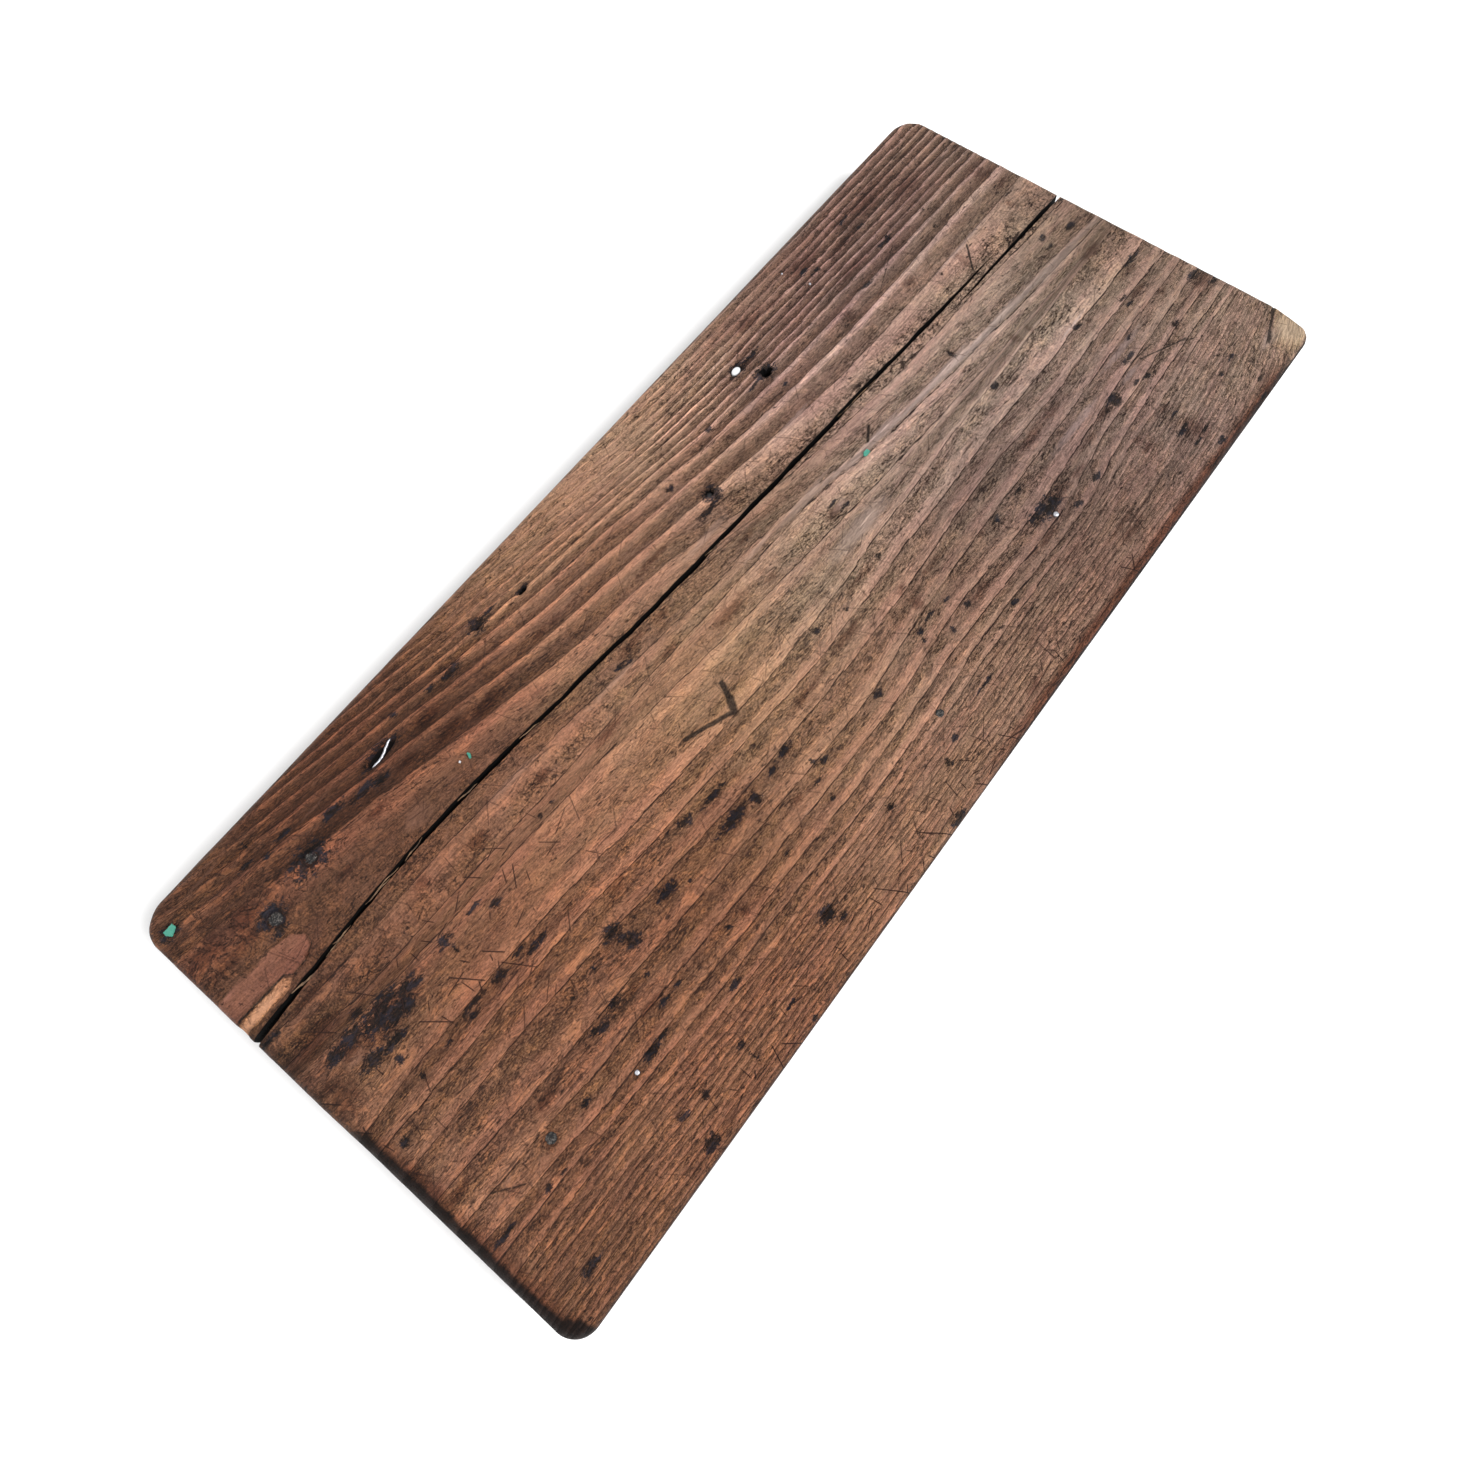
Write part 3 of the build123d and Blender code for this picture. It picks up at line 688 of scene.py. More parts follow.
# ---- colour washes: (along, across, colour) -------------------------------------------------
WASH_LENGTH = 46.0
WASH_WIDTH = 24.0
# The washes are the wood's own colours with painted light in them: the pale lilac of the far half is partly
# painted sheen, and the light's falloff across the board is painted in.
WASHES = [
    (15, 12, (120, 84, 64)), (15, 70, (140, 100, 80)), (15, 108, (128, 92, 72)),
    (12, 145, (100, 70, 55)), (15, 190, (98, 64, 49)), (15, 215, (116, 80, 62)),
    (80, 15, (140, 98, 76)), (80, 60, (132, 92, 71)), (80, 108, (136, 92, 70)),
    (80, 150, (130, 91, 71)), (88, 185, (90, 58, 44)), (85, 214, (98, 64, 48)),
    (150, 15, (140, 98, 76)), (150, 62, (126, 87, 66)), (150, 110, (158, 114, 90)),
    (150, 150, (136, 99, 79)), (140, 183, (98, 64, 48)), (150, 213, (124, 86, 66)),
    (220, 15, (152, 116, 95)), (220, 65, (152, 116, 93)), (220, 110, (160, 126, 98)),
    (220, 150, (145, 113, 93)), (215, 182, (137, 99, 80)), (215, 214, (174, 134, 108)),
    (290, 15, (150, 120, 103)), (290, 60, (146, 116, 100)), (290, 108, (172, 146, 128)),
    (290, 150, (148, 118, 100)), (290, 185, (134, 103, 88)), (290, 215, (192, 156, 132)),
    (360, 10, (132, 103, 90)), (360, 45, (120, 98, 90)), (360, 82, (134, 112, 104)),
    (360, 120, (185, 159, 147)), (360, 152, (154, 126, 114)), (360, 185, (122, 95, 87)),
    (360, 214, (144, 112, 98)), (430, 15, (134, 112, 104)), (430, 60, (138, 115, 107)),
    (430, 108, (166, 146, 134)), (430, 150, (154, 129, 115)), (430, 190, (108, 84, 79)),
    (430, 216, (124, 95, 84)), (500, 15, (156, 132, 117)), (500, 60, (146, 122, 109)),
    (500, 110, (142, 118, 103)), (500, 155, (134, 110, 97)), (500, 190, (115, 91, 81)),
    (500, 215, (132, 104, 90)),
]
SIDE_WOOD = (118, 82, 62)
END_WOOD = (96, 68, 52)
FRESH_WOOD = (196, 170, 138)
FRESH_STRIP = (206, 150, 114)
SLIVER_WOOD = (132, 86, 70)
RED_BORDER = (104, 62, 44)
SURFACE_SHARE = 0.74        # the studio light burns the floor white, so surfaces are darker than they look
# What the timber material reads on the sides, the ends and the underside.
BODY_VALUES = {
    "drop": 0.0, "crest": 0.5, "gouge": -1.0, "beads": 0.0, "black": -1.0, "brown": -1.0, "pale": -1.0,
    "edge_grime_and_shade": 0.25, "contrast": 0.5, "scuffs": 0.0, "rough": 0.5, "seams": 0.5, "mottled": 0.2,
}


def light(colour):
    """A 0 to 255 screen colour as the linear light that Blender works in."""
    share = np.asarray(colour, float) / 255
    return np.where(share <= 0.04045, share / 12.92, ((share + 0.055) / 1.055) ** 2.4) * SURFACE_SHARE


def wash_colours(along, across):
    """The soft changes of colour over the top face, in linear light, with painted sheen and the light's
    falloff among them.
    """
    total = np.zeros((len(along), 3))
    weight = np.zeros(len(along))
    drift = 9 * layers(along / 60, across / 26, 71, 2)
    for x, y, colour in WASHES:
        away_x = (along + drift - x) / WASH_LENGTH
        away_y = (across + drift / 2 - y) / WASH_WIDTH
        pull = np.exp(-away_x ** 2 - away_y ** 2)
        total += pull[:, None] * light(colour)
        weight += pull
    lift = 1.17 - 0.10 * smooth(150, 175, across) * smooth(260, 200, along)
    return total / weight[:, None] * lift[:, None]


def blend(under, over, share):
    """One colour laid over another."""
    return under * (1 - share[:, None]) + np.asarray(over) * share[:, None]


def edge_grime_and_shade(along, across):
    """Black dirt ground into the worn edges, together with painted shade on their rounding."""
    ragged = 0.9 * layers(along / 5, across / 5, 81)
    reach = 4.6 + 5.5 * smooth(15, 2, across) - 2.6 * smooth(100, 112, across)
    fading = 1 - 0.45 * smooth(98, 112, across) - 0.35 * smooth(155, 170, across)
    near = smooth(1.6, -1.2, along + ragged - reach) * fading
    soft = 0.5 * smooth(11, 1, along + 2 * ragged) * smooth(70, 100, across) * smooth(185, 160, across)
    right = smooth(1.5, 0.2, across + 0.5 * ragged) * (0.72 + 0.28 * smooth(230, 300, along))
    far_right = smooth(330, 450, along) * smooth(495, 480, along)
    right = np.maximum(right, 0.62 * smooth(3.4, 1.8, across + 0.6 * ragged) * far_right)
    left = 0.5 * smooth(3, 0.5, WIDTH - across + ragged) * smooth(150, 60, along)
    far = 0.55 * smooth(2.2, 0.4, LENGTH - along + ragged) * smooth(30, 40, across)
    far_spot = smooth(5, 0.5, LENGTH - along + ragged) * smooth(9, 4, np.abs(across - 54))
    far = np.maximum(far, 0.8 * far_spot)
    strip = smooth(-0.5, 0.5, inside_shape(along, across, LIFTED_STRIP))
    return np.maximum.reduce([near, soft, right, left, far]) * (1 - 0.8 * strip)


def reddening(along, across):
    """The reddish brown border inside the dark edges."""
    ragged = 1.2 * layers(along / 6, across / 6, 85)
    near = smooth(11, 4, along + ragged) * smooth(112, 92, across)
    right = smooth(6.0, 2.4, across + 0.5 * ragged) * smooth(225, 290, along) * smooth(500, 470, along)
    return np.maximum(0.75 * near, 0.9 * right)


def broken_corner(along, across):
    """How far inside the break at the far right corner, in mm."""
    (end_x, end_y), (edge_x, edge_y) = BROKEN_CORNER
    size = np.hypot(end_x - edge_x, end_y - edge_y)
    wave = 0.8 * noise(along / 6, across / 3, 91)
    return ((along - edge_x) * (end_y - edge_y) - (across - edge_y) * (end_x - edge_x)) / size + wave


def pale_edge(along, across):
    """1 on the worn pale strip inside the left long edge."""
    return smooth(200, 216, across) * smooth(440, 380, along) * smooth(120, 170, along)


def left_of_crack(across):
    """1 on the left of the cracks, 0 on their right."""
    return smooth(150, 170, across)


def ridge_contrast(along, across):
    """How strongly the pale ridges stand out: most on the left, least in the middle."""
    left = left_of_crack(across)
    dark_left = left * smooth(30, 60, along) * smooth(240, 190, along)
    far_left = left * smooth(260, 330, along)
    corner = smooth(180, 195, across) * smooth(75, 45, along)
    contrast = 0.10 + 0.50 * left + 0.28 * dark_left + 0.50 * far_left
    return contrast - 0.82 * pale_edge(along, across) - 0.5 * corner


def crest_start(along, across):
    """Where in each ring the pale ridge begins: late on the left, where the ridges are narrow."""
    return 0.42 + 0.24 * left_of_crack(across)


def scuffing(along, across):
    """How scratched the face is: most along the right edge."""
    edge = smooth(22, 6, across) * smooth(60, 100, along) * smooth(410, 380, along)
    middle = smooth(60, 110, across) * smooth(150, 130, across) * smooth(160, 100, along)
    return 0.45 + 0.55 * np.maximum(edge, 0.9 * middle)


def roughening(along, across):
    """How torn the soft wood is: little in the smooth middle, most on the right half."""
    middle = smooth(100, 106, across) * smooth(150, 128, across)
    smooth_middle = middle * smooth(290, 200, along)
    left = smooth(150, 165, across)
    return 1.0 - 0.75 * smooth_middle - 0.35 * left - 0.35 * left * smooth(300, 350, along)


def seam_strength(along, across, width):
    """How dark the lines at the ring boundaries are: faint on the left and between narrow rings."""
    narrow = smooth(4.6, 2.6, width)
    faint = (1.0 - 0.4 * left_of_crack(across)) * (1.0 - 0.6 * pale_edge(along, across))
    return faint * (1.0 - narrow * (0.35 + 0.35 * smooth(330, 420, along)))


def mottling(along, across):
    """How far the face has torn into flakes: most in the near left corner, little on the far half."""
    corner = 1.2 * smooth(172, 184, across) * smooth(90, 55, along)
    left = 0.55 * smooth(165, 175, across) * smooth(250, 150, along)
    near = 0.65 * smooth(118, 100, across) * smooth(210, 130, along)
    cluster = 0.8 * smooth(100, 108, across) * smooth(158, 150, across) * smooth(75, 50, along)
    return np.maximum.reduce([corner, left, near, cluster, np.full(len(along), 0.28)])


def wood_wash(along, across, is_side, is_end):
    """The plain colour of the wood at each point, in linear light."""
    wash = wash_colours(along, across)
    strip = smooth(0.1, 0.7, inside_shape(along, across, LIFTED_STRIP))
    wash = blend(wash, light(FRESH_STRIP), 0.95 * strip)
    wash = blend(wash, light(SLIVER_WOOD), 0.9 * sliver_share(along, across))
    broken = smooth(-0.2, 0.8, broken_corner(along, across))
    broken = broken * smooth(488, 500, along) * smooth(0.5, 3, across)
    wash = blend(wash, light(FRESH_WOOD), 0.75 * broken)
    wash = blend(wash, light(RED_BORDER), reddening(along, across))
    wash = blend(wash, light(SIDE_WOOD), 1.0 * is_side)
    return blend(wash, light(END_WOOD), 1.0 * is_end)


def face_values(along, across):
    """What the timber material reads at each point of the top face."""
    number, line, width = grain(along, across)
    on_far_half = smooth(275, 300, along)
    band = (1 - np.abs(number - BAND_MIDDLE) / BAND_HALF) * on_far_half
    band_edge = smooth(0.3, 0.05, np.abs(number - BAND_MIDDLE + 0.5)) * on_far_half
    hollow = np.maximum(hollow_drop(along, across) - DIM_DEPTH, 0)
    off_sliver = 1 - sliver_share(along, across)
    return {
        "ring": np.abs(number),
        "ring_width": width,
        "line": line,
        # the depth of the cracks and hollows, which the material turns into painted shade
        "drop": crack_drop(along, across) + hollow,
        "crest": crest_start(along, across),
        "gouge": gouge_share(along, across),
        "beads": smooth(235, 300, along) * smooth(190, 197, across),
        "black": marks(along, across, BLACK_MARKS),
        "brown": marks(along, across, BROWN_MARKS),
        "pale": np.maximum(marks(along, across, PALE_MARKS), band),
        "edge_grime_and_shade": edge_grime_and_shade(along, across),
        "contrast": ridge_contrast(along, across),
        "scuffs": scuffing(along, across),
        "rough": roughening(along, across) * off_sliver,
        "seams": seam_strength(along, across, width) + band_edge,
        "mottled": mottling(along, across) * off_sliver,
    }


def paint(mesh, top_count):
    """Writes what the timber material needs to know at each point of the board."""
    spots = np.empty(len(mesh.vertices) * 3)
    mesh.vertices.foreach_get("co", spots)
    along, across, z = spots.reshape(-1, 3).T.copy()
    is_top = np.arange(len(along)) < top_count
    is_underside = ~is_top & (z < 0.05)
    by_end = np.minimum(along, LENGTH - along) < np.minimum(across, WIDTH - across)
    is_end = ~is_top & by_end & ~is_underside
    values = face_values(along, across)
    body_number, body_width = body_ring(along, across, z)
    body = dict(BODY_VALUES, ring=body_number, ring_width=body_width, line=values["line"])
    for name, value in values.items():
        value = np.where(is_top, value, body[name]).astype(np.float32)
        mesh.attributes.new(name, "FLOAT", "POINT").data.foreach_set("value", value)
    wash = wood_wash(along, across, ~is_top & ~is_end, is_end)
    colour = np.concatenate([wash, np.ones((len(wash), 1))], axis=1).astype(np.float32)
    mesh.attributes.new("wash", "FLOAT_COLOR", "POINT").data.foreach_set("color", colour.ravel())


def to_frame(mesh):
    """Moves a mesh from plan millimetres to the metres of the frame."""
    move = Matrix.Translation(Vector((board_low.x, board_low.y, board_low.z)))
    mesh.transform(move @ Matrix.Scale(MM, 4))


def add_piece(name, mesh, material, node=None, sharp_from=50):
    """Puts a mesh on the board's body, in place of a CAD node if it stands for one."""
    to_frame(mesh)
    mesh.shade_smooth()
    mesh.set_sharp_from_angle(angle=radians(sharp_from))
    mesh.materials.append(material)
    piece = bpy.data.objects.new(name, mesh)
    bpy.context.scene.collection.objects.link(piece)
    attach(piece, "root")
    if node:
        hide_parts(node)


# Places where the mesh is finer, as ovals: the lifted strip, the sliver and the broken corner.
WIDE_ZONES = [(12, 163.5, 15, 4.5), (30, 170, 14, 8), (503, 10, 12, 12), (480, 8, 16, 5)]
SMALL_MARK = 2.2            # marks narrower than this get a finer mesh too
DEEP_HOLLOW = 0.45          # hollows deeper than this, if not this long, get the finest
LONG_HOLLOW = 12
ZONE_MARGIN = 0.8
FINEST_MARGIN = 0.5
BOARD_SHARP_FROM = 62       # degrees


def gouge_zones():
    """Small zones strung along each gouge."""
    zones = []
    for start, end, width, _ in GOUGES:
        steps = int(max(abs(end[0] - start[0]), abs(end[1] - start[1])) / 2) + 1
        for step in range(steps + 1):
            x = start[0] + (end[0] - start[0]) * step / steps
            y = start[1] + (end[1] - start[1]) * step / steps
            zones.append((x, y, width / 2 + 0.7, width / 2 + 0.5))
    return zones


def build_board():
    bm = top_grid()
    small_marks = [mark for mark in BLACK_MARKS if min(mark[2:4]) < SMALL_MARK]
    deep_hollows = [hollow for hollow in HOLLOWS if hollow[4] > DEEP_HOLLOW and hollow[2] < LONG_HOLLOW]
    refine(bm, small_marks + HOLLOWS + gouge_zones() + WIDE_ZONES, ZONE_MARGIN)
    refine(bm, deep_hollows + gouge_zones(), FINEST_MARGIN)
    bm.verts.index_update()
    spots = np.array([v.co[:] for v in bm.verts])
    for vertex, level in zip(bm.verts, height(spots[:, 0], spots[:, 1])):
        vertex.co.z = level
    top_count = len(bm.verts)
    close_board(bm)
    mesh = bpy.data.meshes.new("board_timber")
    bm.to_mesh(mesh)
    bm.free()
    paint(mesh, top_count)
    add_piece("board_timber", mesh, timber_material(), "board", BOARD_SHARP_FROM)


# ---- materials -----------------------------------------------------------------------------
class Nodes:
    """Short ways to add shader nodes and join them."""

    def __init__(self, name):
        self.material = bpy.data.materials.new(name)
        self.material.use_nodes = True
        self.tree = self.material.node_tree
        self.shader = self.tree.nodes["Principled BSDF"]

    def put(self, socket, value):
        """Joins a node's output to a socket, or sets the socket to a plain value."""
        if isinstance(value, bpy.types.NodeSocket):
            self.tree.links.new(value, socket)
        else:
            socket.default_value = value

    def add(self, kind, *values, **settings):
        """A new node with its settings, and values in its first sockets."""
        node = self.tree.nodes.new("ShaderNode" + kind)
        for name, setting in settings.items():
            setattr(node, name, setting)
        for socket, value in zip(node.inputs, values):
            self.put(socket, value)
        return node

    def surface(self, values):
        """Fills sockets of the material's own shader."""
        for name, value in values.items():
            self.put(self.shader.inputs[name], value)

    def math(self, operation, a, b=0.0, c=0.0, clamp=False):
        return self.add("Math", a, b, c, operation=operation, use_clamp=clamp).outputs[0]

    def chain(self, operation, values, clamp):
        """One operation over a row of values, from the left."""
        total = values[0]
        for value in values[1:]:
            total = self.math(operation, total, value, clamp=clamp)
        return total

    def times(self, *values, clamp=False):
        return self.chain("MULTIPLY", values, clamp)

    def plus(self, *values, clamp=False):
        return self.chain("ADD", values, clamp)

    def minus(self, *values, clamp=False):
        return self.chain("SUBTRACT", values, clamp)

    def scaled(self, value, factor, offset):
        return self.math("MULTIPLY_ADD", value, factor, offset)

    def size(self, value):
        return self.math("ABSOLUTE", value)

    def step(self, value, low, high, to_low=0.0, to_high=1.0):
        """A smooth step from to_low to to_high as value goes from low to high."""
        node = self.add("MapRange", value, low, high, to_low, to_high, interpolation_type="SMOOTHSTEP")
        return node.outputs["Result"]

    def mix(self, factor, a, b, kind="MIX"):
        node = self.add("Mix", data_type="RGBA", blend_type=kind)
        for index, value in ((0, factor), (6, a), (7, b)):
            self.put(node.inputs[index], value)
        return node.outputs[2]

    def tint(self, colour, red, green, blue):
        """A colour multiplied by another."""
        return self.mix(1.0, colour, (red, green, blue, 1.0), "MULTIPLY")

    def attribute(self, name, output="Fac"):
        return self.add("Attribute", attribute_name=name).outputs[output]

    def vector(self, x, y, z):
        return self.add("CombineXYZ", x, y, z).outputs[0]

    def split(self, place):
        return self.add("SeparateXYZ", place).outputs

    def millimetres(self):
        """x, y and z in the object's own space, in millimetres."""
        scale = self.add("VectorMath", self.add("TexCoord").outputs["Object"], operation="SCALE")
        scale.inputs["Scale"].default_value = 1 / MM
        return self.split(scale.outputs[0])

    def stretch(self, place, x, y, z):
        """A place scaled differently along each axis."""
        return self.add("VectorMath", place, (x, y, z), operation="MULTIPLY").outputs[0]

    def turn(self, place, angle):
        """A place turned about the upright axis."""
        node = self.add("VectorRotate", place, rotation_type="Z_AXIS")
        self.put(node.inputs["Angle"], angle)
        return node.outputs[0]

    def noise(self, place, detail=3.0, rough=0.55, warp=0.0):
        node = self.add("TexNoise")
        sockets = {"Vector": place, "Scale": 1.0, "Detail": detail, "Roughness": rough, "Distortion": warp}
        for name, value in sockets.items():
            self.put(node.inputs[name], value)
        return node.outputs["Fac"]

    def drawn(self, place, along, across, detail=3.0, rough=0.55, warp=0.0):
        """Noise drawn out along the grain: so many waves to a millimetre along and across it."""
        return self.noise(self.stretch(place, along, across, across), detail, rough, warp)

    def cell_facts(self, place):
        """The middle of the random cell that holds a place, and three random numbers for it."""
        node = self.add("TexVoronoi", place)
        node.inputs["Scale"].default_value = 1.0
        return node.outputs["Position"], self.add("SeparateColor", node.outputs["Color"]).outputs

    def bump(self, height_value, distance, strength=1.0):
        node = self.add("Bump")
        for name, value in {"Strength": strength, "Distance": distance, "Height": height_value}.items():
            self.put(node.inputs[name], value)
        return node.outputs["Normal"]


def paint_colour(red, green, blue):
    """A 0 to 255 screen colour as a shader colour."""
    return (*light((red, green, blue)).tolist(), 1.0)


def scratch_marks(n, place, cell, turn_range, longest, half_width, share):
    """Straight scratches, at most one to each random cell: where, how long and which way are random."""
    scaled = n.stretch(place, 1 / cell, 1 / cell, 1 / cell)
    middle, random = n.cell_facts(scaled)
    away = n.add("VectorMath", scaled, middle, operation="SUBTRACT").outputs[0]
    low, high = (radians(angle) for angle in turn_range)
    turned = n.turn(n.stretch(away, cell, cell, cell), n.scaled(random[0], high - low, low))
    parts = n.split(turned)
    reach = n.scaled(random[1], longest / 2, 0.5)
    thin = n.step(n.size(parts[1]), half_width * 0.6, half_width * 1.6, 1.0, 0.0)
    ends = n.step(n.minus(n.size(parts[0]), reach), -1.2, 0.2, 1.0, 0.0)
    chosen = n.step(random[2], 1 - share, 1 - share + 0.02)
    return n.times(thin, ends, chosen)


def level_line(n, value, half_width):
    """A thin winding line where a noise passes through its middle value."""
    return n.step(n.size(n.minus(value, 0.5)), half_width * 0.4, half_width, 1.0, 0.0)


def read_rings(n):
    """Where each place lies in its ring, with edges that step sideways where splinters came away."""
    x, y, z = n.millimetres()
    wood = SimpleNamespace(x=x, flat=n.vector(x, y, 0.0), place=n.vector(x, n.attribute("line"), z))
    wood.wash = n.attribute("wash", "Color")
    wood.ring_width = n.attribute("ring_width")
    waver = n.drawn(wood.place, 0.02, 0.22, 2.0)
    _, jump = n.cell_facts(n.stretch(wood.place, 0.13, 0.30, 0.30))
    shift = n.plus(n.step(jump[0], 0.0, 1.0, -0.26, 0.26), n.step(waver, 0.3, 0.7, -0.35, 0.35))
    ring = n.plus(n.attribute("ring"), n.math("DIVIDE", shift, wood.ring_width))
    wood.part = n.math("FRACT", ring)
    wood.after = n.times(wood.part, wood.ring_width)
    wood.before = n.times(n.minus(1.0, wood.part), wood.ring_width)
    wood.not_middle = n.step(n.size(ring), 0.45, 0.6)
    crest_low = n.attribute("crest")
    crest_rise = n.step(wood.part, crest_low, n.plus(crest_low, 0.26))
    wood.crest = n.times(crest_rise, n.step(wood.part, 0.975, 1.0, 1.0, 0.0))
    wood.trough = n.times(n.step(wood.part, 0.0, 0.02), n.step(wood.part, 0.08, 0.66, 1.0, 0.0))
    return wood


def add_textures(n, wood):
    """Textures that several layers share, and how rough the wood is: most just outside each ring
    boundary, and in patches."""
    place = wood.place
    wood.fibre = n.drawn(place, 0.022, 1.5, 5.0, 0.70)
    wood.fine_fibre = n.drawn(place, 0.12, 4.2, 4.0, 0.65)
    wood.patches = n.drawn(place, 0.055, 0.10, 5.0, 0.66, 0.5)
    wood.torn = n.drawn(place, 0.40, 1.4, 8.0, 0.74, 0.5)
    wood.specks = n.drawn(place, 1.3, 2.2, 5.0, 0.75, 0.3)
    ragged = n.drawn(place, 0.55, 1.15, 7.0, 0.76, 0.8)
    wood.ragged = n.times(n.minus(ragged, 0.5), 3.6)
    wood.blot = n.scaled(n.drawn(place, 0.24, 0.46, 3.0, 0.6, 0.4), 3.6, -1.8)
    narrow_width = n.step(wood.ring_width, 2.6, 4.6, 0.8, 0.0)
    narrow = n.times(narrow_width, n.step(wood.x, -150.0, 20.0, 0.2, 1.0))
    soft_wood = n.times(n.step(wood.part, 0.35, 0.80, 1.0, 0.0), n.minus(1.0, narrow))
    soft_wood = n.plus(soft_wood, n.times(narrow, 0.55))
    rough = n.times(soft_wood, n.step(wood.patches, 0.34, 0.62, 0.25, 1.25), n.attribute("rough"))
    wood.rough = n.plus(rough, 0.20, clamp=True)


def plain_wood(n, wood):
    """The colour of the rings under the dirt and the painted shade: dark troughs, pale crests with a painted
    lilac sheen on the far half, ochre where it is rough.
    """
    wash = wood.wash
    contrast = n.attribute("contrast")
    colour = n.mix(n.times(wood.trough, contrast), wash, n.tint(wash, 0.50, 0.45, 0.42))
    # on the far half the crests turn lilac: painted sheen
    ridge_tint_and_sheen = n.mix(n.step(wood.x, -60.0, 90.0), (2.10, 2.00, 1.95, 1.0), (1.78, 1.94, 2.14, 1.0))
    colour = n.mix(n.times(wood.crest, contrast), colour, n.mix(1.0, wash, ridge_tint_and_sheen, "MULTIPLY"))
    colour = n.mix(n.times(wood.crest, 0.8), colour, n.tint(colour, 1.08, 1.02, 1.03))
    hue = n.drawn(wood.place, 0.030, 0.11, 4.0, 0.62)
    warm = n.tint(colour, 1.05, 0.96, 0.92)
    olive = n.tint(colour, 1.0, 1.01, 0.93)
    colour = n.mix(n.step(hue, 0.34, 0.66), warm, olive)
    ochre = n.times(wood.rough, n.step(wood.patches, 0.36, 0.60, 0.10, 0.70))
    ochre = n.times(ochre, n.step(wood.x, -60.0, 60.0, 1.0, 0.25))
    return n.mix(ochre, colour, n.tint(colour, 1.12, 1.09, 0.90))


def shaded(n, wood, colour):
    """Lighter and darker fibre of many sizes."""
    broad = n.drawn(wood.place, 0.012, 0.13, 3.0, 0.6)
    shade = n.plus(n.step(wood.fibre, 0.25, 0.75, -0.22, 0.22), n.step(broad, 0.3, 0.7, -0.12, 0.12))
    shade = n.plus(shade, n.step(wood.fine_fibre, 0.3, 0.7, -0.31, 0.31))
    shade = n.plus(shade, n.step(wood.patches, 0.32, 0.68, -0.10, 0.10))
    shade = n.plus(shade, n.times(n.step(wood.torn, 0.36, 0.64, -0.28, 0.40), wood.rough))
    speckled = n.times(n.step(wood.specks, 0.38, 0.62, -0.46, 0.46), n.plus(wood.rough, 0.40))
    level = n.plus(1.0, n.plus(shade, speckled))
    return n.mix(1.0, colour, n.vector(level, level, level), "MULTIPLY")


def torn_edges(n, wood, colour):
    """Winding crevices painted dark as shade in the rough wood, and a painted highlight on the broken fibre
    beside the ring boundaries.
    """
    crevice_noise = n.drawn(wood.place, 0.17, 0.80, 5.0, 0.62, 0.3)
    crevice_zone = n.step(n.drawn(wood.place, 0.09, 0.30, 2.0), 0.46, 0.58)
    wood.crevice = n.times(level_line(n, crevice_noise, 0.028), n.times(crevice_zone, wood.rough))
    # painted shade in the crevices
    colour = n.mix(n.times(wood.crevice, 1.1, clamp=True), colour, paint_colour(50, 32, 26))
    fringe = n.times(n.step(wood.after, 0.15, 0.40), n.step(wood.after, 0.7, 2.0, 1.0, 0.0))
    fringe = n.times(fringe, n.step(wood.torn, 0.47, 0.56))
    fringe = n.times(fringe, n.times(n.step(wood.patches, 0.38, 0.56), wood.not_middle))
    wood.fringe = n.times(fringe, n.attribute("seams"))
    # painted highlight on the torn fibre beside each ring boundary
    return n.mix(n.times(wood.fringe, 0.85), colour, n.tint(wood.wash, 2.1, 2.0, 1.9))


def crumbled(n, wood, colour):
    """Small cracks and crumbled fibre all over the soft wood: each dark line is painted shade, with a
    painted highlight along its edge.
    """
    wood.crumble = n.drawn(wood.place, 0.42, 1.15, 4.0, 0.62, 0.5)
    zone = n.step(n.drawn(wood.place, 0.11, 0.26, 3.0), 0.42, 0.56)
    wood.crumble_zone = n.times(zone, wood.rough)
    dark = n.times(n.step(wood.crumble, 0.425, 0.455, 1.0, 0.0), wood.crumble_zone)
    beside = n.size(n.minus(wood.crumble, 0.485))
    lit = n.times(n.step(beside, 0.0, 0.028, 1.0, 0.0), wood.crumble_zone)
    # painted shade in the small cracks, and a painted highlight beside each
    colour = n.mix(n.times(dark, 0.6), colour, paint_colour(50, 32, 26))
    return n.mix(n.times(lit, 0.6), colour, n.tint(wood.wash, 2.0, 1.85, 1.6))


def flaked(n, wood, colour):
    """Flakes torn away: ochre where the wood is fresher, darker where it is lower, and a painted shadow
    along each flake's edge.
    """
    wood.mottled = n.attribute("mottled")
    wood.flakes = n.drawn(wood.place, 0.10, 0.30, 7.0, 0.70, 0.9)
    bare = n.times(n.step(wood.flakes, 0.50, 0.60, 0.0, 0.8), wood.mottled)
    colour = n.mix(bare, colour, n.tint(colour, 1.50, 1.36, 1.12))
    sunk = n.times(n.step(wood.flakes, 0.36, 0.47, 0.75, 0.0), wood.mottled)
    colour = n.mix(sunk, colour, n.tint(colour, 0.50, 0.42, 0.40))
    # a painted shadow along the edge of each flake
    flake_edge_shadow = n.times(level_line(n, wood.flakes, 0.014), n.times(wood.mottled, 0.8))
    return n.mix(flake_edge_shadow, colour, paint_colour(48, 30, 25))


